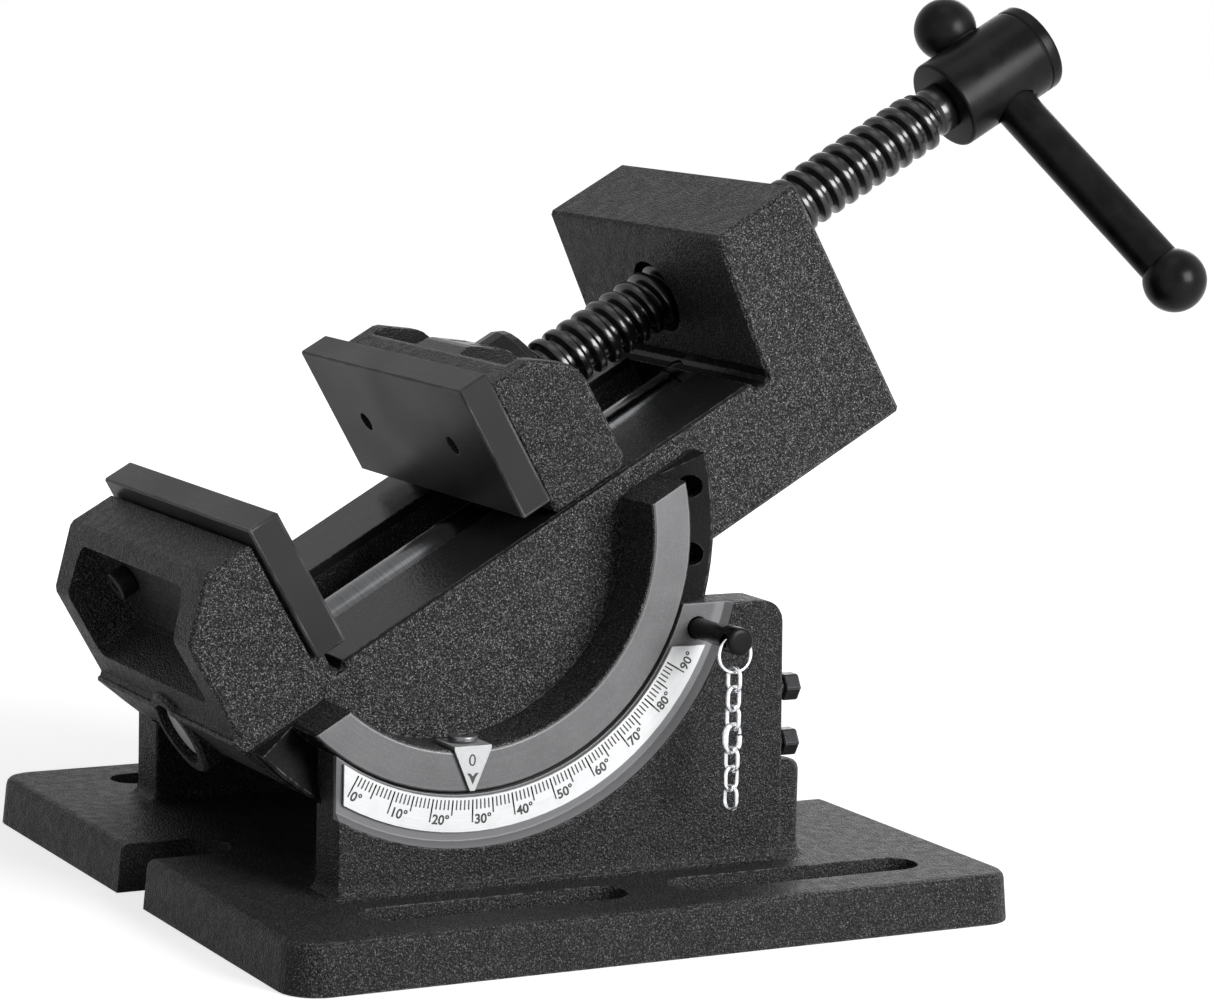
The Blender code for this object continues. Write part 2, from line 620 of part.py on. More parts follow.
def make_body(stuff, cradle):
    ledge = PLATE_BOTTOM - SEAT_GAP
    outline = [
        (FIXED_SEAT, ledge), (FIXED_SEAT, FIXED_TOP), (FIXED_CREST_FRONT, FIXED_TOP),
        (FIXED_FRONT, FIXED_CHIN_TOP), (FIXED_FRONT, FIXED_STEP_Z), (FIXED_STEP_FRONT, FIXED_STEP_Z),
        (FIXED_HEEL_X, FIXED_HEEL_Z), (FIXED_HEEL_FOOT, BED_BOTTOM), (BODY_REAR, BED_BOTTOM),
        (BODY_REAR, BLOCK_TOP), (BLOCK_FRONT_TOP, BLOCK_TOP),
        (BLOCK_FRONT_FOOT, BED_TOP - BLOCK_RELIEF_DEPTH),
        (BLOCK_FRONT_FOOT - BLOCK_RELIEF_LENGTH, BED_TOP - BLOCK_RELIEF_DEPTH),
        (BLOCK_FRONT_FOOT - BLOCK_RELIEF_LENGTH, BED_TOP),
        (FIXED_SEAT + FIXED_LEDGE_LENGTH + FIXED_RELIEF_LENGTH, BED_TOP),
        (FIXED_SEAT + FIXED_LEDGE_LENGTH + FIXED_RELIEF_LENGTH, BED_TOP - FIXED_RELIEF_DEPTH),
        (FIXED_SEAT + FIXED_LEDGE_LENGTH, BED_TOP - FIXED_RELIEF_DEPTH),
        (FIXED_SEAT + FIXED_LEDGE_LENGTH, ledge),
    ]
    body = piece("vise_body", prism(outline, -BODY_HALF, BODY_HALF, edge=BODY_EDGE), stuff, cradle)
    wall_start = -math.pi / 2
    wall_count = arc_steps(math.pi)
    disc = [(FLANGE_RADIUS * math.sin(wall_start + math.pi * k / wall_count),
             -FLANGE_RADIUS * math.cos(wall_start + math.pi * k / wall_count)) for k in range(wall_count + 1)]
    for side, where in ((-1, "near"), (1, "far")):
        low, high = sorted((side * (BODY_HALF - RIM_WALL), side * BODY_HALF))
        wall = tool("rocker_wall_" + where, prism(disc, low, high), cradle)
        rim = tool("rocker_rim_" + where,
                   lathe(rim_profile(side), "Y", wall_count, wall_start, math.pi), cradle)
        trim = tool("rocker_trim_" + where,
                    box(-2 * FLANGE_RADIUS, 2 * FLANGE_RADIUS, -RIM_FACE - OVERRUN, RIM_FACE + OVERRUN,
                        RIM_TOP, FLANGE_RADIUS), cradle)
        cut(wall, trim)
        cut(rim, trim)
        join(body, wall, rim)
    boss = tool("rod_boss", lathe([(0, ROD_BOSS_FRONT), (ROD_BOSS_RADIUS - BODY_EDGE, ROD_BOSS_FRONT),
                                   (ROD_BOSS_RADIUS, ROD_BOSS_FRONT + BODY_EDGE),
                                   (ROD_BOSS_RADIUS, WAY_SLOT_FRONT - OVERRUN), (0, WAY_SLOT_FRONT - OVERRUN)],
                                  "X", 28), cradle, (0, 0, ROD_Z))
    join(body, boss)
    slot = tool("way_slot_cutter", box(WAY_SLOT_FRONT, WAY_SLOT_REAR, -WAY_SLOT_HALF, WAY_SLOT_HALF,
                                       BED_BOTTOM - OVERRUN, BED_TOP + OVERRUN), cradle)
    cavity = tool("cavity_cutter", box(CAVITY_FRONT, CAVITY_REAR, -CAVITY_HALF, CAVITY_HALF,
                                       BED_BOTTOM - OVERRUN, BED_BOTTOM + CAVITY_DEPTH,
                                       edge=OVERRUN / 2), cradle)
    bm = bmesh.new()
    mouth = [(FIXED_STEP_FRONT - OVERRUN, POCKET_HALF, POCKET_BOTTOM - OVERRUN, FIXED_TOP - OVERRUN),
             (POCKET_BACK, POCKET_BACK_HALF, POCKET_BOTTOM + OVERRUN, POCKET_TOP)]
    rings = [[bm.verts.new((x, sy * half, z)) for sy, z in ((-1, low), (1, low), (1, high), (-1, high))]
             for x, half, low, high in mouth]
    bm.faces.new(rings[0])
    bm.faces.new(rings[1])
    for k in range(4):
        bm.faces.new((rings[0][k], rings[0][(k + 1) % 4], rings[1][(k + 1) % 4], rings[1][k]))
    bmesh.ops.recalc_face_normals(bm, faces=bm.faces)
    along = [edge for edge in bm.edges if abs(edge.verts[0].co.x - edge.verts[1].co.x) > OVERRUN]
    back = [edge for edge in bm.edges if all(v.co.x == rings[1][0].co.x for v in edge.verts)]
    bmesh.ops.bevel(bm, geom=along + back, offset=OVERRUN, segments=3, profile=0.5, affect="EDGES")
    pocket = tool("front_pocket_cutter", bm, cradle)
    rod_bore = tool("rod_bore_cutter", lathe(
        [(0, FIXED_STEP_FRONT - OVERRUN), (ROD_COUNTERBORE, FIXED_STEP_FRONT - OVERRUN),
         (ROD_COUNTERBORE, ROD_BOSS_FRONT + ROD_COUNTERBORE_DEPTH),
         (ROD_RADIUS + RUNNING_GAP, ROD_BOSS_FRONT + ROD_COUNTERBORE_DEPTH),
         (ROD_RADIUS + RUNNING_GAP, ROD_REAR + SEAT_GAP), (0, ROD_REAR + SEAT_GAP)],
        "X", ROUND_STEPS, HALF_ROUND_STEP), cradle, (0, 0, ROD_Z))
    screw_bore = tool("nut_bore_cutter", lathe(
        [(0, BLOCK_FRONT_FOOT - OVERRUN), (NUT_COUNTERBORE, BLOCK_FRONT_FOOT - OVERRUN),
         (NUT_COUNTERBORE, BLOCK_FRONT_TOP + NUT_COUNTERBORE_DEPTH),
         (SCREW_RADIUS + RUNNING_GAP, BLOCK_FRONT_TOP + 2 * NUT_COUNTERBORE_DEPTH),
         (SCREW_RADIUS + RUNNING_GAP, BODY_REAR - NUT_COUNTERBORE_DEPTH / 2),
         (NUT_COUNTERBORE, BODY_REAR + NUT_COUNTERBORE_DEPTH / 2), (0, BODY_REAR + NUT_COUNTERBORE_DEPTH / 2)],
        "X", ROUND_STEPS), cradle, (0, 0, SCREW_Z))
    cut(body, slot, cavity, pocket, rod_bore, screw_bore)
    for side, where in ((-1, "near"), (1, "far")):
        bore = tool("fixed_screw_bore_" + where, lathe(
            [(0, POCKET_BACK - OVERRUN), (CAP_SHANK + RUNNING_GAP, POCKET_BACK - OVERRUN),
             (CAP_SHANK + RUNNING_GAP, FIXED_SEAT + OVERRUN), (0, FIXED_SEAT + OVERRUN)], "X", 16),
            cradle, (0, side * PLATE_SCREW_Y, PLATE_SCREW_Z))
        cut(body, bore)
    set_bore = tool("set_screw_bore", lathe(
        [(0, BED_BOTTOM - OVERRUN), (SET_SCREW_RADIUS + RUNNING_GAP, BED_BOTTOM - OVERRUN),
         (SET_SCREW_RADIUS + RUNNING_GAP, ROD_Z), (0, ROD_Z)], "Z", 16), cradle, (SET_SCREW_X, 0, 0))
    cut(body, set_bore)
    for k in range(INDEX_COUNT):
        turn = PIN_TURN - INDEX_STEP * k
        deep = FLANGE_CREST - INDEX_HOLE_DEPTH
        hole = lathe([(0, -FLANGE_CREST - OVERRUN), (PIN_RADIUS + RUNNING_GAP, -FLANGE_CREST - OVERRUN),
                      (PIN_RADIUS + RUNNING_GAP, -deep), (0, -deep)], "Y", 16)
        place = (PIN_ORBIT * math.sin(turn), 0, -PIN_ORBIT * math.cos(turn))
        cut(body, tool("index_hole_%d" % (k + 1), hole, cradle, place))
    tap = lathe([(0, RIM_INNER - OVERRUN), (POINTER_SCREW_SHANK + RUNNING_GAP, RIM_INNER - OVERRUN),
                 (POINTER_SCREW_SHANK + RUNNING_GAP, RIM_INNER + POINTER_SCREW_BITE + SEAT_GAP),
                 (0, RIM_INNER + POINTER_SCREW_BITE + SEAT_GAP)], "Z", 12)
    tap.transform(pointer_turn() @ Matrix.Diagonal((1, 1, -1, 1)))
    cut(body, tool("pointer_tap", tap, cradle, (0, pointer_screw_y(), 0)))
    return body


def pointer_turn():
    """Turns straight down to the pointer's place on the rim."""
    return Matrix.Rotation(-POINTER_TURN, 4, "Y")


def pointer_screw_y():
    return -RIM_FACE + POINTER_TAB_LENGTH / 2


def make_pointer(plate_stuff, screw_stuff, cradle):
    seat = RIM_INNER - SEAT_GAP
    face = -RIM_FACE - SEAT_GAP
    half = POINTER_WIDTH / 2
    tip = POINTER_TIP_WIDTH / 2
    chord = math.sqrt(seat ** 2 - half ** 2)
    leg = prism([(-half, -chord + POINTER_THICKNESS), (half, -chord + POINTER_THICKNESS), (half, -chord),
                 (tip, -POINTER_TIP_RADIUS), (-tip, -POINTER_TIP_RADIUS), (-half, -chord)],
                face - POINTER_THICKNESS, face)
    leg.transform(pointer_turn())
    pointer = piece("pointer", leg, plate_stuff, cradle)
    tab = box(-half, half, face - POINTER_THICKNESS, face + POINTER_TAB_LENGTH,
              -chord, -chord + POINTER_THICKNESS)
    tab.transform(pointer_turn())
    hole = lathe([(0, -chord - OVERRUN), (POINTER_SCREW_SHANK + RUNNING_GAP, -chord - OVERRUN),
                  (POINTER_SCREW_SHANK + RUNNING_GAP, -chord + OVERRUN), (0, -chord + OVERRUN)], "Z", 12)
    hole.transform(pointer_turn())
    join(pointer, tool("pointer_tab", tab, cradle))
    cut(pointer, tool("pointer_hole", hole, cradle, (0, pointer_screw_y(), 0)))
    under = -chord + POINTER_THICKNESS + SEAT_GAP
    top = under + POINTER_SCREW_HEIGHT
    bottom = -RIM_INNER - POINTER_SCREW_BITE
    screw = lathe([(0, bottom), (POINTER_SCREW_SHANK, bottom), (POINTER_SCREW_SHANK, under),
                   (POINTER_SCREW_HEAD, under), (POINTER_SCREW_HEAD, top - CAP_CHAMFER),
                   (POINTER_SCREW_HEAD - 2 * CAP_CHAMFER, top), (0, top)], "Z", 20)
    screw.transform(pointer_turn())
    piece("pointer_screw", screw, screw_stuff, cradle, (0, pointer_screw_y(), 0), math.radians(35))


def jaw_plate(name, back, front, stuff, cradle):
    low, high = sorted((back, front))
    bm = box(low, high, -JAW_WIDTH / 2, JAW_WIDTH / 2, PLATE_BOTTOM, PLATE_TOP)
    bmesh.ops.bevel(bm, geom=bm.edges[:], offset=PLATE_CHAMFER, segments=1, profile=0.5, affect="EDGES")
    plate = piece(name, bm, stuff, cradle)
    for side, where in ((-1, "near"), (1, "far")):
        hole = lathe([(0, low - OVERRUN), (CAP_SHANK + RUNNING_GAP, low - OVERRUN),
                      (CAP_SHANK + RUNNING_GAP, high + OVERRUN), (0, high + OVERRUN)], "X", 16)
        cut(plate, tool(name + "_hole_" + where, hole, cradle, (0, side * PLATE_SCREW_Y, PLATE_SCREW_Z)))
    return plate


def cap_screw(name, seat, tip, y, z, stuff, parent, shank=CAP_SHANK, head=CAP_HEAD, height=CAP_HEAD_HEIGHT,
              axis="X"):
    """A socket cap screw whose head's underside is at seat and whose shank ends at tip."""
    way = 1 if tip > seat else -1
    under = seat - way * SEAT_GAP
    top = under - way * height
    socket = top + way * CAP_SOCKET_DEPTH
    bm = lathe([(0, socket), (CAP_SOCKET, socket), (CAP_SOCKET, top), (head - CAP_CHAMFER, top),
                (head, top + way * CAP_CHAMFER), (head, under), (shank, under),
                (shank, tip - way * CAP_CHAMFER), (shank - CAP_CHAMFER, tip), (0, tip)], axis, 14)
    place = {"X": (0, y, z), "Z": (y, z, 0)}[axis]
    return piece(name, bm, stuff, parent, place, math.radians(35))


def make_jaws(cast, steel, screw_stuff, cradle):
    fixed_back = FIXED_SEAT + SEAT_GAP
    fixed_front = fixed_back + PLATE_THICKNESS
    jaw_plate("fixed_jaw_plate", fixed_back, fixed_front, steel, cradle)
    for side, where in ((-1, "near"), (1, "far")):
        cap_screw("fixed_jaw_screw_" + where, POCKET_BACK, fixed_front - CAP_TIP_RECESS,
                  side * PLATE_SCREW_Y, PLATE_SCREW_Z, screw_stuff, cradle)
    moving_front = fixed_front + JAW_OPENING
    moving_back = moving_front + PLATE_THICKNESS
    jaw_plate("movable_jaw_plate", moving_front, moving_back, steel, cradle)
    start = moving_back + SEAT_GAP
    end = start + JAW_DEPTH
    low = BED_TOP + RUNNING_GAP
    outline = [(start, low), (end - JAW_HEEL, low), (end, low + JAW_HEEL), (end, JAW_TOP - JAW_SHOULDER_DROP),
               (end - JAW_HEEL, JAW_TOP - JAW_SHOULDER_DROP + JAW_SHOULDER_MID),
               (start + JAW_CREST_LENGTH, JAW_TOP), (start, JAW_TOP)]
    jaw = piece("movable_jaw", prism(outline, -BODY_HALF, BODY_HALF, edge=BODY_EDGE), cast, cradle)
    for side, where in ((-1, "near"), (1, "far")):
        inner, outer = sorted((side * (JAW_POCKET_INNER - 2 * OVERRUN), side * (BODY_HALF - JAW_WALL)))
        pocket = box(start + JAW_WEB, end + JAW_DEPTH, inner, outer, JAW_POCKET_FLOOR, JAW_TOP + JAW_DEPTH,
                     edge=OVERRUN / 2)
        cut(jaw, tool("jaw_pocket_" + where, pocket, cradle))
    boss = lathe([(0, start + OVERRUN), (BOSS_RADIUS, start + OVERRUN),
                  (BOSS_RADIUS, start + BOSS_LENGTH - BOSS_ROUND),
                  (BOSS_RADIUS - BOSS_ROUND * 0.3, start + BOSS_LENGTH - BOSS_ROUND * 0.3),
                  (BOSS_RADIUS - BOSS_ROUND, start + BOSS_LENGTH), (0, start + BOSS_LENGTH)], "X", ROUND_STEPS)
    join(jaw, tool("jaw_boss", boss, cradle, (0, 0, SCREW_Z)))
    nose_end = start + BOSS_LENGTH - SCREW_NOSE_LENGTH
    bore = lathe([(0, nose_end - SEAT_GAP), (SCREW_NOSE_RADIUS + RUNNING_GAP, nose_end - SEAT_GAP),
                  (SCREW_NOSE_RADIUS + RUNNING_GAP, end + BOSS_LENGTH), (0, end + BOSS_LENGTH)],
                 "X", ROUND_STEPS, HALF_ROUND_STEP)
    cut(jaw, tool("nose_bore", bore, cradle, (0, 0, SCREW_Z)))
    groove_x = nose_end + SCREW_GROOVE_SETBACK
    offset = SCREW_NOSE_RADIUS
    for side, where in ((-1, "near"), (1, "far")):
        top = SCREW_Z + THRUST_PIN_LENGTH / 2
        bottom = SCREW_Z - THRUST_PIN_LENGTH / 2
        hole = lathe([(0, bottom - SEAT_GAP), (THRUST_PIN_RADIUS + RUNNING_GAP, bottom - SEAT_GAP),
                      (THRUST_PIN_RADIUS + RUNNING_GAP, SCREW_Z + 2 * BOSS_RADIUS),
                      (0, SCREW_Z + 2 * BOSS_RADIUS)],
                     "Z", 16)
        cut(jaw, tool("thrust_pin_hole_" + where, hole, cradle, (groove_x, side * offset, 0)))
        pin = lathe([(0, bottom), (THRUST_PIN_RADIUS, bottom), (THRUST_PIN_RADIUS, top), (0, top)], "Z", 16)
        piece("thrust_pin_" + where, pin, screw_stuff, cradle, (groove_x, side * offset, 0), math.radians(40))
        bore = lathe([(0, start - OVERRUN), (CAP_SHANK + RUNNING_GAP, start - OVERRUN),
                      (CAP_SHANK + RUNNING_GAP, start + JAW_WEB + OVERRUN), (0, start + JAW_WEB + OVERRUN)],
                     "X", 16)
        cut(jaw, tool("jaw_screw_bore_" + where, bore, cradle, (0, side * PLATE_SCREW_Y, PLATE_SCREW_Z)))
        cap_screw("movable_jaw_screw_" + where, start + JAW_WEB, moving_front + CAP_TIP_RECESS,
                  side * PLATE_SCREW_Y, PLATE_SCREW_Z, screw_stuff, cradle)
    make_guide_block(start, low, jaw, cast, screw_stuff, cradle)
    return start + BOSS_LENGTH, nose_end, groove_x, offset


def make_guide_block(start, low, jaw, cast, screw_stuff, cradle):
    top = low - SEAT_GAP
    front = start + GUIDE_SETBACK
    half = WAY_SLOT_HALF - RUNNING_GAP
    block = piece("guide_block",
                  box(front, front + GUIDE_LENGTH, -half, half, GUIDE_BOTTOM, top, edge=CAP_CHAMFER), cast, cradle)
    bore = lathe([(0, front - OVERRUN), (ROD_RADIUS + RUNNING_GAP, front - OVERRUN),
                  (ROD_RADIUS + RUNNING_GAP, front + GUIDE_LENGTH + OVERRUN),
                  (0, front + GUIDE_LENGTH + OVERRUN)],
                 "X", ROUND_STEPS)
    cut(block, tool("guide_bore", bore, cradle, (0, 0, ROD_Z)))
    middle = front + GUIDE_LENGTH / 2
    seat = GUIDE_BOTTOM + GUIDE_SCREW_HEAD_HEIGHT + 2 * SEAT_GAP
    tip = low + GUIDE_SCREW_BITE
    for side, where in ((-1, "near"), (1, "far")):
        y = side * GUIDE_SCREW_Y
        hole = lathe([(0, GUIDE_BOTTOM - OVERRUN), (GUIDE_SCREW_HEAD + RUNNING_GAP, GUIDE_BOTTOM - OVERRUN),
                      (GUIDE_SCREW_HEAD + RUNNING_GAP, seat), (GUIDE_SCREW_SHANK + RUNNING_GAP, seat),
                      (GUIDE_SCREW_SHANK + RUNNING_GAP, tip + SEAT_GAP), (0, tip + SEAT_GAP)], "Z", 16)
        cutter = tool("guide_screw_hole_" + where, hole, cradle, (middle, y, 0))
        cut(block, cutter)
        cut(jaw, cutter)
        cap_screw("guide_block_screw_" + where, seat, tip, middle, y, screw_stuff, cradle,
                  GUIDE_SCREW_SHANK, GUIDE_SCREW_HEAD, GUIDE_SCREW_HEAD_HEIGHT, "Z")


def make_rod(stuff, screw_stuff, cradle):
    front = ROD_BOSS_FRONT + ROD_FRONT_SETBACK
    rod = lathe([(0, front), (ROD_RADIUS - ROD_CHAMFER, front), (ROD_RADIUS, front + ROD_CHAMFER),
                 (ROD_RADIUS, ROD_REAR - ROD_CHAMFER), (ROD_RADIUS - ROD_CHAMFER, ROD_REAR), (0, ROD_REAR)],
                "X", ROUND_STEPS)
    piece("guide_rod", rod, stuff, cradle, (0, 0, ROD_Z), math.radians(35))
    top = ROD_Z - ROD_RADIUS - SEAT_GAP
    bottom = top - SET_SCREW_LENGTH
    grub = lathe([(0, bottom), (SET_SCREW_RADIUS, bottom), (SET_SCREW_RADIUS, top - CAP_CHAMFER),
                  (SET_SCREW_RADIUS - CAP_CHAMFER, top), (0, top)], "Z", 16)
    piece("rod_set_screw", grub, screw_stuff, cradle, (SET_SCREW_X, 0, 0), math.radians(35))


def make_screw(shoulder, nose_end, groove_x, offset, stuff, spindle):
    """The screw lies along the spindle's x; the thread's crests are its full radius."""
    start = shoulder + SEAT_GAP
    groove = offset - THRUST_PIN_RADIUS - RUNNING_GAP
    half = SCREW_GROOVE_WIDTH / 2
    end = HUB_FRONT - SEAT_GAP
    thread_end = end - SCREW_NECK_LENGTH
    profile = [(0, nose_end), (SCREW_NOSE_RADIUS - SCREW_CHAMFER, nose_end),
               (SCREW_NOSE_RADIUS, nose_end + SCREW_CHAMFER), (SCREW_NOSE_RADIUS, groove_x - half),
               (groove, groove_x - half), (groove, groove_x + half), (SCREW_NOSE_RADIUS, groove_x + half),
               (SCREW_NOSE_RADIUS, start), (SCREW_RADIUS - SCREW_CHAMFER, start),
               (SCREW_RADIUS, start + SCREW_CHAMFER), (SCREW_RADIUS, thread_end - SCREW_CHAMFER),
               (SCREW_NECK_RADIUS, thread_end), (SCREW_NECK_RADIUS, end), (SCREW_SPIGOT_RADIUS, end),
               (SCREW_SPIGOT_RADIUS, end + SCREW_SPIGOT_LENGTH), (0, end + SCREW_SPIGOT_LENGTH)]
    piece("lead_screw", lathe(profile, "X", ROUND_STEPS), stuff, spindle, smooth=math.radians(35))


def bar_line():
    """Direction of the bar in the spindle's frame, from its near ball to its far ball."""
    return Vector((0, math.sin(BAR_TURN), math.cos(BAR_TURN)))


def ball_stop():
    """How far from the hub's axis a ball's centre stops, against the countersunk mouth of the cross bore."""
    mouth = BAR_RADIUS + RUNNING_GAP
    reach = BALL_RADIUS + SEAT_GAP
    inner = HUB_RADIUS - HUB_MOUTH_CHAMFER + math.sqrt(reach ** 2 - mouth ** 2)
    outer = HUB_RADIUS + math.sqrt(reach ** 2 - (mouth + HUB_MOUTH_CHAMFER) ** 2)
    return max(inner, outer)


def make_handle(stuff, ball_stuff, spindle):
    rear = HUB_FRONT + HUB_LENGTH
    groove = rear - HUB_GROOVE_SETBACK
    profile = [(0, HUB_FRONT), (HUB_RADIUS - HUB_CHAMFER, HUB_FRONT), (HUB_RADIUS, HUB_FRONT + HUB_CHAMFER),
               (HUB_RADIUS, groove - HUB_GROOVE_WIDTH / 2),
               (HUB_RADIUS - HUB_GROOVE_DEPTH, groove), (HUB_RADIUS, groove + HUB_GROOVE_WIDTH / 2),
               (HUB_RADIUS, rear - HUB_CHAMFER), (HUB_RADIUS - HUB_CHAMFER, rear), (0, rear)]
    hub = piece("handle_hub", lathe(profile, "X", ROUND_STEPS), stuff, spindle, smooth=math.radians(35))
    middle = HUB_FRONT + HUB_LENGTH / 2
    far = ball_stop()
    near = far - BALL_SPACING
    turn = Vector((0, 0, 1)).rotation_difference(bar_line()).to_matrix().to_4x4()
    mouth = BAR_RADIUS + RUNNING_GAP
    neck = HUB_RADIUS - HUB_MOUTH_CHAMFER
    flare = mouth + HUB_MOUTH_CHAMFER + OVERRUN
    top = HUB_RADIUS + OVERRUN
    cross = lathe([(0, -top), (flare, -top), (mouth, -neck), (mouth, neck), (flare, top), (0, top)],
                  "Z", ROUND_STEPS)
    cross.transform(turn)
    cut(hub, tool("cross_bore", cross, spindle, (middle, 0, 0)))
    deep = HUB_FRONT + SCREW_SPIGOT_LENGTH
    bore = lathe([(0, HUB_FRONT - OVERRUN), (SCREW_SPIGOT_RADIUS + SEAT_GAP, HUB_FRONT - OVERRUN),
                  (SCREW_SPIGOT_RADIUS + SEAT_GAP, deep), (0, deep)], "X", ROUND_STEPS, HALF_ROUND_STEP)
    cut(hub, tool("spigot_bore", bore, spindle))
    shoulder_near = near + BALL_SINK
    shoulder_far = far - BALL_SINK
    bar = lathe([(0, shoulder_near - BAR_SPIGOT), (BAR_RADIUS - CAP_CHAMFER, shoulder_near - BAR_SPIGOT),
                 (BAR_RADIUS, shoulder_near - BAR_SPIGOT + CAP_CHAMFER),
                 (BAR_RADIUS, shoulder_far + BAR_SPIGOT - CAP_CHAMFER),
                 (BAR_RADIUS - CAP_CHAMFER, shoulder_far + BAR_SPIGOT), (0, shoulder_far + BAR_SPIGOT)],
                "Z", 24)
    bar.transform(turn)
    piece("handle_bar", bar, stuff, spindle, (middle, 0, 0), math.radians(35))
    for name, centre, way in (("near", near, 1), ("far", far, -1)):
        bm = bmesh.new()
        bmesh.ops.create_uvsphere(bm, u_segments=22, v_segments=12, radius=BALL_RADIUS)
        bmesh.ops.translate(bm, verts=bm.verts, vec=(0, 0, centre))
        bm.transform(turn)
        ball = piece("handle_ball_" + name, bm, ball_stuff, spindle, (middle, 0, 0), math.radians(50))
        shoulder = centre + way * BALL_SINK
        inside = shoulder - way * (BAR_SPIGOT + SEAT_GAP)
        low, high = sorted((inside, shoulder + way * BALL_RADIUS))
        hole = lathe([(0, low), (BAR_RADIUS + SEAT_GAP, low),
                      (BAR_RADIUS + SEAT_GAP, high), (0, high)], "Z", 24)
        hole.transform(turn)
        cut(ball, tool("ball_bore_" + name, hole, spindle, (middle, 0, 0)))


def make_pin(stuff):
    x, z = pin_place()
    lowest = FLANGE_ROOT + flange_slope() * (PIN_ORBIT + PIN_RADIUS - RIM_OUTER)
    tip = lowest + PIN_TIP_SHORT
    face = pin_face()
    neck = face - PIN_HEAD_LENGTH
    groove = neck + PIN_GROOVE_WIDTH * 3
    profile = [(0, -tip), (PIN_RADIUS - CAP_CHAMFER, -tip), (PIN_RADIUS, -tip - CAP_CHAMFER),
               (PIN_RADIUS, -neck),
               (PIN_HEAD_RADIUS - CAP_CHAMFER, -neck), (PIN_HEAD_RADIUS, -neck - CAP_CHAMFER),
               (PIN_HEAD_RADIUS, -groove + PIN_GROOVE_WIDTH / 2), (PIN_HEAD_RADIUS - PIN_GROOVE_DEPTH, -groove),
               (PIN_HEAD_RADIUS, -groove - PIN_GROOVE_WIDTH / 2),
               (PIN_HEAD_RADIUS, -face + PIN_HEAD_ROUND),
               (PIN_HEAD_RADIUS - PIN_HEAD_ROUND, -face), (0, -face)]
    pin = piece("index_pin", lathe(profile, "Y", 20), stuff, location=(x, 0, z), smooth=math.radians(35))
    eye = lathe([(0, -2 * PIN_HEAD_RADIUS), (PIN_EYE_RADIUS, -2 * PIN_HEAD_RADIUS),
                 (PIN_EYE_RADIUS, 2 * PIN_HEAD_RADIUS), (0, 2 * PIN_HEAD_RADIUS)], "X", 12)
    cut(pin, tool("pin_eye", eye, location=(x, eye_y(), z)))
    return x, z


def pin_face():
    """How far out the end of the pin's head stands."""
    return CHEEK_OUTER + PIN_HEAD_STAND


def eye_y():
    return -pin_face() + PIN_EYE_SETBACK


def loop_points(length, width, share_from=0, share_to=1):
    """Centre line of a link in its plane, across and up, with how far round each point is."""
    radius = width / 2
    reach = length / 2 - radius
    points = []
    for side, base in ((1, 0), (-1, math.pi)):
        for k in range(LINK_ARC_STEPS + 1):
            turn = base + math.pi * k / LINK_ARC_STEPS
            points.append((radius * math.cos(turn), side * reach + radius * math.sin(turn)))
    if share_from == 0 and share_to == 1:
        return points
    ring = points + points[:1]
    steps = [math.dist(a, b) for a, b in zip(ring, ring[1:])]
    whole = sum(steps)
    marks = [sum(steps[:k]) for k in range(len(ring))]

    def at(share):
        want = (share % 1) * whole
        for k, step in enumerate(steps):
            if marks[k] + step >= want and step > 0:
                part = (want - marks[k]) / step
                a, b = ring[k], ring[k + 1]
                return (a[0] + (b[0] - a[0]) * part, a[1] + (b[1] - a[1]) * part)
        return ring[-1]

    count = max(4, round(2 * (LINK_ARC_STEPS + 1) * (share_to - share_from)))
    return [at(share_from + (share_to - share_from) * k / count) for k in range(count + 1)]


def wire(points, radius, closed):
    """Sweeps a round wire along points in a plane."""
    bm = bmesh.new()
    rings = []
    count = len(points)
    for i, point in enumerate(points):
        before = points[i - 1] if closed or i else point
        after = points[(i + 1) % count] if closed or i < count - 1 else point
        along = Vector((after[0] - before[0], 0, after[1] - before[1])).normalized()
        side = Vector((0, 1, 0)).cross(along)
        centre = Vector((point[0], 0, point[1]))
        rings.append([bm.verts.new(centre + radius * (math.cos(t) * side + math.sin(t) * Vector((0, 1, 0))))
                      for t in (2 * math.pi * k / WIRE_SIDES for k in range(WIRE_SIDES))])
    pairs = list(zip(rings, rings[1:]))
    if closed:
        pairs.append((rings[-1], rings[0]))
    for first, second in pairs:
        for k in range(WIRE_SIDES):
            n = (k + 1) % WIRE_SIDES
            bm.faces.new((first[k], first[n], second[n], second[k]))
    if not closed:
        bm.faces.new(rings[0])
        bm.faces.new(list(reversed(rings[-1])))
    return bm


def place_loop(name, bm, turn, place, stuff, parent):
    """Turns a link about the vertical and puts it in its place."""
    bm.transform(Matrix.Rotation(turn, 4, "Z"))
    return piece(name, bm, stuff, parent, place, math.radians(60))


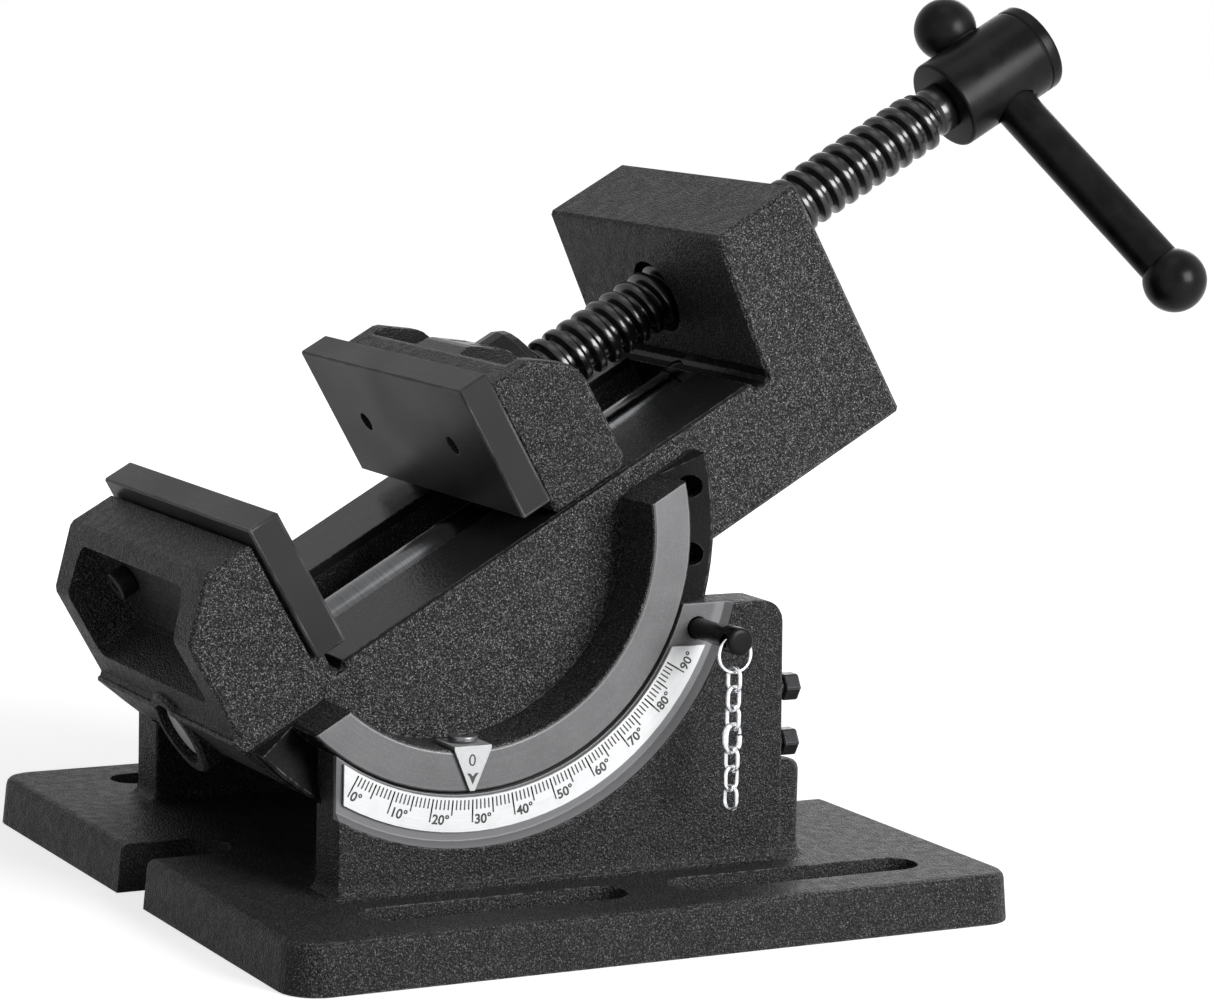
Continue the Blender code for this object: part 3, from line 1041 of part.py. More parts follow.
def make_chain(stuff, clasp_stuff, hook):
    """Ring, upper strand, clasp and the tail that hangs from the clasp."""
    circle = [(RING_RADIUS * math.cos(2 * math.pi * k / 20), RING_RADIUS * math.sin(2 * math.pi * k / 20))
              for k in range(20)]
    place_loop("chain_ring", wire(circle, RING_WIRE, True), 0, (0, 0, RING_LIFT - RING_RADIUS), stuff, hook)
    length = LINK_INNER_LENGTH + 2 * LINK_WIRE
    width = LINK_INNER_WIDTH + 2 * LINK_WIRE
    pitch = LINK_INNER_LENGTH - LINK_GAP
    turns = (LINK_TURN - math.pi / 2, LINK_TURN)
    names = iter("chain_link_%02d" % (k + 1) for k in range(SINGLE_LINKS + TAIL_LINKS))

    def link(turn, z):
        loop = wire(loop_points(length, width), LINK_WIRE, True)
        place_loop(next(names), loop, turn, (0, 0, z), stuff, hook)

    z = RING_LIFT - 2 * RING_RADIUS + RING_WIRE + LINK_GAP + LINK_WIRE - length / 2
    for k in range(SINGLE_LINKS):
        link(turns[k % 2], z - pitch * k)
    lowest = z - pitch * (SINGLE_LINKS - 1) - length / 2
    clasp_length = CLASP_INNER_LENGTH + 2 * CLASP_WIRE
    clasp_width = CLASP_INNER_WIDTH + 2 * CLASP_WIRE
    clasp_z = lowest + LINK_WIRE + LINK_GAP + CLASP_WIRE - clasp_length / 2
    gate_to = CLASP_GATE_START_share + CLASP_GATE_share
    whole = 2 * (clasp_length - clasp_width) + math.pi * clasp_width
    gap_share = SEAT_GAP / whole
    for name, share_from, share_to in (
            ("clasp_hook", gate_to + gap_share, 1 + CLASP_GATE_START_share - gap_share),
            ("clasp_gate", CLASP_GATE_START_share, gate_to)):
        loop = wire(loop_points(clasp_length, clasp_width, share_from, share_to), CLASP_WIRE, False)
        place_loop(name, loop, LINK_TURN, (0, 0, clasp_z), clasp_stuff, hook)
    held_z = clasp_z - clasp_length / 2
    z = held_z + CLASP_WIRE + LINK_GAP + LINK_WIRE - length / 2
    for k in range(TAIL_LINKS):
        link(turns[k % 2], z - pitch * k)


def main():
    clear_scene()
    cast = material("cast_black", (0.035, 0.035, 0.038), 0.55, 0.3)
    body_cast = material("cast_black_body", (0.035, 0.035, 0.038), 0.55, 0.3)
    jaw_cast = material("cast_black_jaw", (0.035, 0.035, 0.038), 0.55, 0.3)
    plate_steel = material("jaw_plate_steel", (0.055, 0.055, 0.06), 0.38, 0.8)
    black_steel = material("black_oxide_steel", (0.02, 0.02, 0.022), 0.3, 0.8)
    bright = material("ground_steel", (0.55, 0.56, 0.58), 0.22, 1.0)
    white = material("scale_white", (0.82, 0.83, 0.84), 0.4, 0.0)
    bolt_steel = material("bolt_steel", (0.12, 0.12, 0.13), 0.4, 0.9)
    brass = material("shoe_brass", (0.55, 0.42, 0.18), 0.35, 1.0)
    chain_steel = material("chain_nickel", (0.72, 0.73, 0.75), 0.2, 1.0)
    make_base(cast)
    make_scale_plate(white)
    make_clamps(bolt_steel, brass)
    cradle = empty("cradle_axis", (AXIS_X, 0, AXIS_Z), turn_y=-TILT_AT_REST)
    make_body(body_cast, cradle)
    make_pointer(white, bolt_steel, cradle)
    shoulder, nose_end, groove_x, offset = make_jaws(jaw_cast, plate_steel, bolt_steel, cradle)
    make_rod(bright, bolt_steel, cradle)
    spindle = empty("screw_axis", (0, 0, SCREW_Z), cradle)
    make_screw(shoulder, nose_end, groove_x, offset, black_steel, spindle)
    make_handle(black_steel, black_steel, spindle)
    x, z = make_pin(black_steel)
    hook = empty("chain_axis", (x, eye_y(), z))
    make_chain(chain_steel, chain_steel, hook)


main()
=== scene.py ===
import math

import bmesh
import bpy
from mathutils import Matrix, Vector


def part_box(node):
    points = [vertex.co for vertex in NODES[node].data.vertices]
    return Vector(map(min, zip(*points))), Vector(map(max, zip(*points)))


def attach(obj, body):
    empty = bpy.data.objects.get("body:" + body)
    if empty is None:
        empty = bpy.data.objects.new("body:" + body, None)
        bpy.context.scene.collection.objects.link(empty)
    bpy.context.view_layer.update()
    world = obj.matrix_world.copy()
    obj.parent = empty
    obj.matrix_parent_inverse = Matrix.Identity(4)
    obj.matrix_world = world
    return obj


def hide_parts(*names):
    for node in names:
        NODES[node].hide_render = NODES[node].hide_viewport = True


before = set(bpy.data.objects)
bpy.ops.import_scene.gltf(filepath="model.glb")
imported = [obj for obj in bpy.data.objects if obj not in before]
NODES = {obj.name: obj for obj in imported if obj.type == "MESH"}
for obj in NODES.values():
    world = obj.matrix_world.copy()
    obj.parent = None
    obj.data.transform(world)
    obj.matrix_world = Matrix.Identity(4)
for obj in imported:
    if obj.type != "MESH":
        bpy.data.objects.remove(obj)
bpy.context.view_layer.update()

SCENE = bpy.context.scene

# Places shared with the CAD model, in metres. The vise body's own frame starts on the axis that it tilts about: u runs
# along the bed towards the handle, y across it, and w away from it.
AXIS = Vector((-0.0379, 0.0, 0.1007))
TILT = math.radians(30.0)
BED = Vector((math.cos(TILT), 0.0, math.sin(TILT)))
UP = Vector((-math.sin(TILT), 0.0, math.cos(TILT)))
ACROSS = Vector((0.0, 1.0, 0.0))
SCREW_W = 0.0058
ROD_W = -0.0220
RIM_FACE = 0.0667

# Materials work in millimetres
TO_MM = 1000.0


def bed_point(u, y, w):
    """A point in the vise body's frame."""
    return AXIS + u * BED + ACROSS * y + w * UP


def bed_matrix(w=0.0):
    """Turns the vise body's frame, x along the bed and z away from it, into the world, from a height w."""
    made = Matrix((BED, ACROSS, UP)).transposed().to_4x4()
    made.translation = bed_point(0.0, 0.0, w)
    return made


# ---------------------------------------------------------------- shader maths

def put(tree, socket, value):
    """Links a worked-out value to a socket, or sets a plain one on it."""
    if isinstance(value, Val):
        tree.links.new(value.out, socket)
    else:
        socket.default_value = value


def add_node(tree, kind, inputs=None, out=0, **settings):
    """Adds a node, with its settings first and then its sockets, and returns one of its outputs."""
    made = tree.nodes.new(kind)
    for key, value in settings.items():
        setattr(made, key, value)
    for key, value in (inputs or {}).items():
        put(tree, made.inputs[key], value)
    return Val(tree, made.outputs[out])


class Val:
    """An output socket with arithmetic."""

    def __init__(self, tree, out):
        self.tree, self.out = tree, out

    def math(self, operation, *others):
        return add_node(self.tree, "ShaderNodeMath", dict(enumerate((self, *others))), operation=operation)

    def __add__(self, other):
        return self.math("ADD", other)

    __radd__ = __add__

    def __mul__(self, other):
        return self.math("MULTIPLY", other)

    __rmul__ = __mul__

    def __sub__(self, other):
        return self.math("SUBTRACT", other)

    def __rsub__(self, other):
        return add_node(self.tree, "ShaderNodeMath", {0: other, 1: self}, operation="SUBTRACT")

    def __abs__(self):
        return self.math("ABSOLUTE")

    def step(self, low, high, start=0.0, end=1.0):
        """Smooth change from start to end as the value goes from low to high."""
        limits = {"Value": self, "From Min": low, "From Max": high, "To Min": start, "To Max": end}
        return add_node(self.tree, "ShaderNodeMapRange", limits, "Result", interpolation_type="SMOOTHSTEP")

    def past(self, edge, soft):
        """One past an edge, with a soft width on each side of it."""
        return self.step(edge - soft, edge + soft)

    def within(self, edge, soft):
        """One as far as an edge, with a soft width on each side of it."""
        return self.step(edge - soft, edge + soft, 1.0, 0.0)

    def between(self, low, high, soft=0.15):
        """One between two edges, with a soft width on each side of both."""
        return self.past(low, soft) * self.within(high, soft)


class Paint:
    """A procedural material on object coordinates in millimetres, with noise scales per millimetre."""

    def __init__(self, name):
        self.made = bpy.data.materials.new(name)
        self.made.use_nodes = True
        self.tree = self.made.node_tree
        self.shader = self.tree.nodes["Principled BSDF"]
        place = self.node("ShaderNodeTexCoord", out="Object")
        self.place = self.node("ShaderNodeVectorMath", {0: place, "Scale": TO_MM}, operation="SCALE")
        parts = self.node("ShaderNodeSeparateXYZ", {0: self.place}).out.node
        self.x, self.y, self.z = (Val(self.tree, out) for out in parts.outputs)

    def node(self, kind, inputs=None, out=0, **settings):
        return add_node(self.tree, kind, inputs, out, **settings)

    def vector(self, x, y, z):
        return self.node("ShaderNodeCombineXYZ", {0: x, 1: y, 2: z})

    def noise(self, scale, detail=2.0, where=None, rough=0.5, distortion=0.0):
        return self.node("ShaderNodeTexNoise", {"Vector": where or self.place, "Scale": scale, "Detail": detail,
                                                "Roughness": rough, "Distortion": distortion})

    def cells(self, scale, where):
        """One in the middle of each rounded cell, less towards its edge."""
        distance = self.node("ShaderNodeTexVoronoi", {"Vector": where, "Scale": scale}, feature="SMOOTH_F1")
        return 1.0 - distance * 1.25

    def mix(self, factor, first, second):
        """A colour that goes from first to second with the factor."""
        colours = {6: first, 7: second}
        for socket, value in colours.items():
            if not isinstance(value, Val):
                colours[socket] = (*value, 1.0)
        return self.node("ShaderNodeMix", {0: factor, **colours}, 2, data_type="RGBA")

    def blend(self, factor, first, second):
        """A number that goes from first to second with the factor."""
        return first + factor * (second - first)

    def bed(self):
        """Place along the bed and away from it, and the polar place about the tilting axis."""
        dx, dz = self.x - AXIS.x * TO_MM, self.z - AXIS.z * TO_MM
        along = dx * BED.x + dz * BED.z
        away = dx * UP.x + dz * UP.z
        radius = (along * along + away * away).math("SQRT")
        angle = away.math("ARCTAN2", along)
        return along, away, radius, angle

    def edges(self, size):
        """One where the surface turns sharply within a size, zero on flats."""
        bevel = self.node("ShaderNodeBevel", {"Radius": size / TO_MM}, samples=4)
        normal = self.node("ShaderNodeNewGeometry", out="Normal")
        dot = self.node("ShaderNodeVectorMath", {0: bevel, 1: normal}, "Value", operation="DOT_PRODUCT")
        return dot.step(0.925, 0.992, 1.0, 0.0)

    def finish(self, colour, rough, height, depth, metallic=0.0, soften=0.0, specular=0.5):
        """Sets the shader's sockets, with height as a bump of a depth, over edges softened by a radius."""
        relief = {"Distance": depth / TO_MM, "Height": height}
        if soften:
            relief["Normal"] = self.node("ShaderNodeBevel", {"Radius": soften / TO_MM}, samples=4)
        for name, value in (("Base Color", colour), ("Roughness", rough), ("Metallic", metallic),
                            ("Specular IOR Level", specular), ("Normal", self.node("ShaderNodeBump", relief))):
            put(self.tree, self.shader.inputs[name], value)
        return self.made


def grey(level, blue):
    """A grey with its own share of blue."""
    return level, level, blue


def tint(colour, share, lift=0.0, most=1.0):
    """A colour times a share, lifted by a little and no brighter than most."""
    return tuple(min(most, lift + part * share) for part in colour)


# ---------------------------------------------------------------- castings

def grain(paint):
    """The pebbled paint of the castings: its height, the share of a point in a pebble's top, and the fine grain."""
    shift = paint.node("ShaderNodeTexNoise", {"Vector": paint.place, "Scale": 1.1, "Detail": 1.0}, 1)
    shift = paint.node("ShaderNodeVectorMath", {0: shift, "Scale": 0.55}, operation="SCALE")
    where = paint.node("ShaderNodeVectorMath", {0: paint.place, 1: shift}, operation="ADD")
    pebbles = paint.cells(1.75, where)
    fine = paint.cells(3.6, where)
    swell = paint.noise(0.22)
    crest_dust_and_highlight = pebbles.step(0.42, 0.92) * paint.noise(0.5).step(0.36, 0.64, 0.45, 1.0)
    return pebbles * 0.75 + fine * 0.28 + swell * 0.7, crest_dust_and_highlight, fine


def bare_metal(paint, base, rough, height, masks, bright, steel, radius, angle):
    """Turned cast iron where masks is one, brighter still where bright is."""
    marks = paint.noise(1.0, 3.0, paint.vector(radius * 2.2, angle * 1.2, paint.y * 0.5), rough=0.55)
    cloud = paint.noise(0.09, 3.0)
    bare = paint.mix(cloud.step(0.3, 0.7) * 0.5, tint(steel, 0.86), tint(steel, 1.12))
    bare = paint.mix(marks.step(0.40, 0.85) * 0.22, bare, tint(steel, 1.45))
    bare = paint.mix(paint.noise(2.2).step(0.5, 0.75) * 0.30, bare, tint(steel, 1.6))
    # Turned edges painted much brighter: painted highlight
    bare = paint.mix(paint.edges(0.5) * 0.6, bare, tint(steel, 3.0, most=0.6))
    bare = paint.mix(bright, bare, tint(steel, 1.5))
    base = paint.mix(masks, base, bare)
    rough = paint.blend(masks, rough, marks.step(0.2, 0.8, 0.42, 0.52))
    return base, rough, height * (1.0 - masks) + marks * masks * 0.04, masks * 0.35


def cast_material(name, machined=None, smooth=None, dust_and_glint_share=1.0, steel=grey(0.10, 0.103)):
    """Grained near-black paint: bare where machined says, with little grain where smooth says."""
    paint = Paint(name)
    along, away, radius, angle = paint.bed()
    height, crest_dust_and_highlight, fine = grain(paint)
    colour = grey(0.0105, 0.0110)
    tone = paint.noise(0.05, 3.0)
    # Sparse near-white glints on the grain: painted highlight
    painted_glint = paint.noise(1.9, rough=0.6).step(0.46, 0.66) * fine.step(0.35, 0.85)
    # Edges painted brighter in patches: partly wear, partly painted highlight
    edge_wear_and_glint = paint.edges(0.6) * paint.noise(0.5, 3.0).step(0.42, 0.60)
    calm = smooth(paint, along, away, radius) if smooth else None
    # How much crest dust, painted highlight and painted glint a casting shows, less where it is smooth
    lively = dust_and_glint_share - calm * (dust_and_glint_share * 0.95) if smooth else dust_and_glint_share
    base = paint.mix(tone.step(0.3, 0.7) * 0.6, colour, tint(colour, 1.45))
    # Pebble tops painted lighter: partly dust, partly painted highlight on the pebbles' lit tops
    base = paint.mix(crest_dust_and_highlight * 0.72 * lively, base, grey(0.098, 0.100))
    base = paint.mix(painted_glint * 0.85 * lively, base, grey(0.34, 0.344))
    base = paint.mix(edge_wear_and_glint * 0.60, base, grey(0.20, 0.203))
    rough = paint.noise(0.3).step(0.3, 0.7, 0.33, 0.46)
    if smooth:
        rough = paint.blend(calm, rough, 0.24)
        height = height * (1.0 - calm * 0.86)
    metallic = 0.0
    if machined:
        masks, bright = machined(paint, radius)
        base, rough, height, metallic = bare_metal(paint, base, rough, height, masks, bright, steel, radius, angle)
    return paint.finish(base, rough, height, 0.52, metallic, soften=0.5, specular=0.06)


def base_machined(paint, radius):
    """The turned recess of the near cheek, above the foot, brighter outside the scale plate."""
    cheek_face, recess_back, recess_radius, cheek_foot, scale_edge = -69.25, -65.5, 77.35, 14.0, 72.75
    front = paint.y.past(cheek_face, 0.1) * paint.y.within(recess_back, 0.5)
    recess = radius.within(recess_radius, 0.15) * front * paint.z.past(cheek_foot, 0.5)
    return recess, radius.past(scale_edge, 0.75) * 0.75


def body_machined(paint, radius):
    """The outer faces of the rocker rims."""
    rim_face, rim_inside = 66.3, 51.9
    return abs(paint.y).past(rim_face, 0.15) * radius.past(rim_inside, 0.3), 0.0


def body_smooth(paint, along, away, radius):
    """The bed, the walls of its slot, and the flanges."""
    side = abs(paint.y)
    bed_half, slot_half, slot_foot, flange_side, flange_inside = 48.4, 20.0, -12.5, 51.0, 62.1
    bed = away.between(-14.4, -11.0, 0.2) * along.between(-46.0, 103.0) * side.within(bed_half, 0.2)
    slot = side.within(slot_half, 1.0) * away.within(slot_foot, 1.5) * along.between(-33.8, 97.2)
    flange = side.past(flange_side, 0.2) * radius.past(flange_inside, 0.2)
    return (bed + slot + flange).math("MINIMUM", 1.0)


def jaw_smooth(paint, along, away, radius):
    """The jaw's foot and guide block, and the hollow round the screw's boss."""
    foot_top, hollow_front, hollow_half = -11.9, 38.8, 42.6
    foot = away.within(foot_top, 0.6)
    hollow = along.past(hollow_front, 0.4) * abs(paint.y).within(hollow_half, 0.2)
    return foot.math("MAXIMUM", hollow)


# ---------------------------------------------------------------- steel, plates and small metal

def plate_material():
    """Ground and blackened jaw plates: a cloudy sheen, fine lines, darker ends and brighter edges."""
    plate_end = 50.625
    paint = Paint("jaw_plate_black")
    along, away, radius, angle = paint.bed()
    lines = paint.noise(1.0, 3.0, paint.vector(along * 3.0, paint.y * 0.10, away * 4.0), rough=0.6)
    cloud = paint.noise(0.035)
    speck = paint.noise(1.6, 3.0, rough=0.7).step(0.62, 0.74)
    base = paint.mix(cloud.step(0.3, 0.7) * 0.7, grey(0.024, 0.0246), grey(0.042, 0.043))
    base = paint.mix(lines.step(0.42, 0.72) * 0.45, base, grey(0.065, 0.067))
    base = paint.mix(speck * 0.18, base, grey(0.10, 0.103))
    # The plate's end faces painted darker: painted shade
    base = paint.mix(abs(paint.y).past(plate_end, 0.125) * 0.62, base, grey(0.012, 0.0123))
    # Edges painted brighter in patches: partly wear, partly painted highlight
    base = paint.mix(paint.edges(0.7) * paint.noise(0.08, 3.0).step(0.36, 0.66) * 0.5, base, grey(0.30, 0.303))
    rough = cloud.step(0.3, 0.7, 0.36, 0.44)
    return paint.finish(base, rough, lines, 0.012, 0.10, soften=0.35, specular=0.07)


def black_steel(name, rough=0.26, rings=True, specular=0.08):
    """Black-oxide steel under a slightly uneven film of oil, with turning marks along the bed where rings says."""
    paint = Paint(name)
    along, away, radius, angle = paint.bed()
    marks = paint.noise(1.0, 2.0, paint.vector(along * 4.0, 0.0, 0.0)) if rings else paint.noise(1.5)
    oil = paint.noise(0.12, 3.0, distortion=0.4)
    dust = paint.noise(1.9, 3.0, rough=0.7).step(0.60, 0.72)
    colour = grey(0.0035, 0.0038)
    base = paint.mix(oil.step(0.35, 0.7), colour, tint(colour, 2.2))
    base = paint.mix(dust * 0.10, base, grey(0.07, 0.072))
    base = paint.mix(paint.edges(0.3) * 0.22, base, grey(0.055, 0.057))
    turned = oil.step(0.3, 0.75, rough, rough + 0.10)
    return paint.finish(base, turned, marks, 0.010, soften=0.25, specular=specular)


def bright_steel():
    """Ground round bar: fine rings, a few handling scratches, and less metallic ends painted pale as painted light."""
    front_end, rear_end = -73.1, 121.9
    paint = Paint("ground_steel_bar")
    along, away, radius, angle = paint.bed()
    rings = paint.noise(1.0, 3.0, paint.vector(along * 6.0, paint.y * 0.05, away * 0.05), rough=0.7)
    scratch = paint.noise(1.0, 4.0, paint.vector(along * 0.3, paint.y * 9.0, away * 9.0), rough=0.8).step(0.66, 0.70)
    base = paint.mix(rings.step(0.3, 0.7), (0.085, 0.087, 0.090), (0.14, 0.142, 0.146))
    base = paint.mix(scratch * 0.4, base, grey(0.07, 0.073))
    ends = 1.0 - along.between(front_end, rear_end, 0.06)
    # End faces painted pale: painted light on faces that sit in shade
    base = paint.mix(ends, base, grey(0.42, 0.43))
    rough = paint.blend(ends, rings.step(0.2, 0.8, 0.14, 0.22), 0.5)
    return paint.finish(base, rough, rings, 0.004, 1.0 - ends * 0.7)


def scale_material():
    """Satin white plate with a faint brushed tone and a slightly soiled rim."""
    paint = Paint("scale_white_plate")
    along, away, radius, angle = paint.bed()
    brush = paint.noise(1.0, 3.0, paint.vector(radius * 2.5, angle * 2.0, 0.0), rough=0.6)
    soil = paint.noise(0.25, 4.0).step(0.45, 0.75)
    base = paint.mix(brush.step(0.3, 0.7) * 0.5, (0.53, 0.537, 0.543), (0.60, 0.607, 0.613))
    base = paint.mix(soil * 0.18, base, grey(0.38, 0.373))
    base = paint.mix(paint.edges(0.3) * 0.3, base, grey(0.32, 0.32))
    return paint.finish(base, brush.step(0.2, 0.8, 0.32, 0.44), brush, 0.01, 0.15)


def pointer_material():
    """Brushed thin steel, darker along its cut edges."""
    paint = Paint("pointer_steel_plate")
    brush = paint.noise(1.0, 3.0, paint.vector(paint.x * 1.0, paint.y, paint.z * 8.0), rough=0.6)
    base = paint.mix(brush.step(0.3, 0.7) * 0.7, (0.34, 0.344, 0.348), (0.43, 0.434, 0.438))
    base = paint.mix(paint.edges(0.25) * 0.4, base, grey(0.18, 0.184))
    return paint.finish(base, brush.step(0.2, 0.8, 0.32, 0.44), brush, 0.01, 0.4, soften=0.15)


def ink_material():
    """Black filling of the marks, with a little wear."""
    paint = Paint("scale_ink")
    fade = paint.noise(1.2, 3.0)
    base = paint.mix(fade.step(0.4, 0.8) * 0.5, grey(0.012, 0.013), grey(0.035, 0.036))
    return paint.finish(base, 0.45, fade, 0.004)


def bolt_material(name, colour, rough, metallic):
    """Small turned or forged steel: speckled oxide, brighter corners."""
    paint = Paint(name)
    speck = paint.noise(1.4, 4.0, rough=0.7)
    base = paint.mix(speck.step(0.35, 0.7), colour, tint(colour, 1.8))
    base = paint.mix(paint.edges(0.3) * 0.5, base, tint(colour, 1.6, lift=0.12))
    return paint.finish(base, speck.step(0.3, 0.7, rough - 0.06, rough + 0.1), speck, 0.02, metallic, soften=0.2,
                        specular=0.2)


def chain_material():
    """Bright nickel on round wire."""
    paint = Paint("bright_nickel_wire")
    tone = paint.noise(0.9, 3.0)
    base = paint.mix(tone.step(0.35, 0.7), (0.66, 0.67, 0.69), (0.82, 0.83, 0.85))
    return paint.finish(base, tone.step(0.3, 0.7, 0.16, 0.28), tone, 0.006, 1.0)


def brass_material():
    """Turned brass, for the soft shoes under the clamp bolts."""
    paint = Paint("turned_brass")
    tone = paint.noise(0.8, 3.0)
    base = paint.mix(tone.step(0.3, 0.7), (0.50, 0.37, 0.15), (0.62, 0.48, 0.22))
    return paint.finish(base, tone.step(0.3, 0.7, 0.28, 0.42), tone, 0.01, 1.0)


# ---------------------------------------------------------------- geometry helpers

def add_object(name, data):
    """Puts an object with its data into the scene."""
    made = bpy.data.objects.new(name, data)
    SCENE.collection.objects.link(made)
    return made


def add_mesh(name, bm):
    """Puts a bmesh, merged and with its faces out, into the scene as an object."""
    bmesh.ops.remove_doubles(bm, verts=bm.verts, dist=1e-7)
    bmesh.ops.recalc_face_normals(bm, faces=bm.faces)
    mesh = bpy.data.meshes.new(name)
    bm.to_mesh(mesh)
    bm.free()
    return add_object(name, mesh)


def as_mesh(made):
    """A plain mesh of what an object's modifiers or curve give."""
    graph = bpy.context.evaluated_depsgraph_get()
    graph.update()
    return bpy.data.meshes.new_from_object(made.evaluated_get(graph))


def as_bmesh(mesh):
    """Turns a mesh into a bmesh and removes it."""
    made = bmesh.new()
    made.from_mesh(mesh)
    bpy.data.meshes.remove(mesh)
    return made


def join(whole, extra):
    """Moves the second bmesh into the first."""
    mesh = bpy.data.meshes.new("extra")
    extra.to_mesh(mesh)
    extra.free()
    whole.from_mesh(mesh)
    bpy.data.meshes.remove(mesh)


def settle(made, material, body, node=None):
    """Gives a piece its finish, parents it to what it rides on, and hides the CAD node that it stands for."""
    if not made.data.materials:
        made.data.materials.append(material)
    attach(made, body)
    if node:
        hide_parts(node)


def finished(name, bm, material, body, node=None, smooth=35.0):
    """Makes a piece from a bmesh in world coordinates, smooth up to an angle in degrees."""
    made = add_mesh(name, bm)
    if smooth:
        made.data.shade_smooth()
        made.data.set_sharp_from_angle(angle=math.radians(smooth))
    settle(made, material, body, node)


def turn_at(k, count):
    """The k-th of a number of equal turns round a circle."""
    return 2 * math.pi * k / count


def lathe(profile, steps=64):
    """Turns (radius, distance along x) round x; ends with radius zero close it."""
    bm = bmesh.new()
    rings = []
    for radius, along in profile:
        if radius == 0:
            rings.append([bm.verts.new((along, 0, 0))])
        else:
            rings.append([bm.verts.new((along, radius * math.cos(t), radius * math.sin(t)))
                          for t in (turn_at(k, steps) for k in range(steps))])
    for first, second in zip(rings, rings[1:]):
        for k in range(steps):
            n = (k + 1) % steps
            corners = list(dict.fromkeys([first[k % len(first)], first[n % len(first)],
                                          second[n % len(second)], second[k % len(second)]]))
            if len(corners) > 2:
                bm.faces.new(corners)
    return bm


def rod_profile(radius, start, end):
    """The profile of a plain round bar between two places along x."""
    return [(0.0, start), (radius, start), (radius, end), (0.0, end)]


def rounded(profile, radius, steps=3):
    """Replaces each inner corner of an open profile by a small arc."""
    points = [Vector(p) for p in profile]
    out = [tuple(points[0])]
    for before, here, after in zip(points, points[1:], points[2:]):
        one, two = before - here, after - here
        reach = min(radius, one.length * 0.45, two.length * 0.45)
        if one.length == 0 or two.length == 0:
            out.append(tuple(here))
            continue
        start, end = here + one.normalized() * reach, here + two.normalized() * reach
        for k in range(steps + 1):
            t = k / steps
            out.append(tuple((1 - t) ** 2 * start + 2 * t * (1 - t) * here + t * t * end))
    out.append(tuple(points[-1]))
    return out


def carve(bm, *cutters):
    """Cuts closed shapes out of a closed shape and returns what is left."""
    blank = add_mesh("blank", bm)
    tools = [add_mesh("cutter", cutter) for cutter in cutters]
    for tool in tools:
        change = blank.modifiers.new("cut", "BOOLEAN")
        change.operation = "DIFFERENCE"
        change.solver = "EXACT"
        change.object = tool
    mesh = as_mesh(blank)
    for item in [blank] + tools:
        bpy.data.objects.remove(item)
    return as_bmesh(mesh)


def facing(direction, place=(0, 0, 0)):
    """Turns x to a direction and moves the start to a place."""
    turn = Vector((1, 0, 0)).rotation_difference(Vector(direction)).to_matrix().to_4x4()
    return Matrix.Translation(Vector(place)) @ turn


def flat_on(right, up, place):
    """Lays x and y along two directions on a face that looks to the near side, at a place."""
    made = Matrix((Vector(right), Vector(up), Vector((0, -1, 0)))).transposed().to_4x4()
    made.translation = place
    return made


def hex_prism(flats, low, high):
    """A six-sided bar along x."""
    return lathe(rod_profile(flats / math.sqrt(3), low, high), 6)


def node_box(node):
    """A node's lowest and highest corners, and its middle."""
    low, high = (Vector(corner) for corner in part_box(node))
    return low, high, (low + high) / 2


# ---------------------------------------------------------------- screws

# Where the jaw plates' screws lie, and along the bed the seat and the tip of each: jaw, direction, body, seat, tip
JAW_SCREW_Y, JAW_SCREW_W = 0.0273, 0.0126
JAW_SCREWS = (("fixed_jaw", BED, "cradle", -0.0588, -0.0390), ("movable_jaw", -BED, "jaw", -0.0397, -0.0234))
POINTER_SHANK, POINTER_HEAD, POINTER_HEAD_HIGH, POINTER_KEY = 0.0015, 0.0039, 0.0015, 0.0026
SOCKET_OVER, SOCKET_DEEP = 0.001, 0.0026


def cap_screw(node, seat, tip, place, direction, material, body, shank=0.0025, head=0.0042, height=0.005, key=0.003):
    """A screw along a direction: its head sits on seat, it ends at tip, and key is the width of its hexagon socket."""
    top = seat - height
    profile = [(0.0, top), (head, top), (head, seat), (shank, seat), (shank, tip), (0.0, tip)]
    bm = carve(lathe(rounded(profile, 0.0004), 48), hex_prism(key, top - SOCKET_OVER, top + SOCKET_DEEP))
    bm.transform(facing(direction, place))
    finished(node + "_socket", bm, material, body, node)


def make_screws(material, pointer_metal):
    """Jaw plate screws and the pointer's screw."""
    for side, where in ((-1, "near"), (1, "far")):
        place = bed_point(0, side * JAW_SCREW_Y, JAW_SCREW_W)
        for jaw, direction, body, seat, tip in JAW_SCREWS:
            cap_screw(jaw + "_screw_" + where, seat, tip, place, direction, material, body)
    low, high, middle = node_box("pointer_screw")
    cap_screw("pointer_screw", POINTER_HEAD_HIGH, high.z - low.z, Vector((AXIS.x, middle.y, high.z)), (0, 0, -1),
              pointer_metal, "cradle", POINTER_SHANK, POINTER_HEAD, POINTER_HEAD_HIGH, POINTER_KEY)


# ---------------------------------------------------------------- handle, rod and pin

# The handle's head, along the bed from the tilting axis, with its turned groove
HUB_FRONT, HUB_REAR, HUB_RADIUS, HUB_EDGE = 0.2105, 0.2450, 0.0133, 0.0010
HUB_GROOVE, GROOVE_HALF, GROOVE_DEEP = HUB_REAR - 0.004, 0.00045, 0.0004
# The bar through it, turned about the screw, its balls' centres along it, and the bore with its countersunk mouths
BAR_TURN = math.radians(38.7)
BAR_RADIUS, BALL_RADIUS = 0.0063, 0.0091
BALL_FAR = 0.018993
BALL_NEAR = BALL_FAR - 0.1006
BAR_SHORT, BALL_SEAT = 0.001, 0.0007
BORE_RADIUS, BORE_HALF, SINK = BAR_RADIUS + 0.0003, 0.0163, 0.004
BALL_STEPS = 26
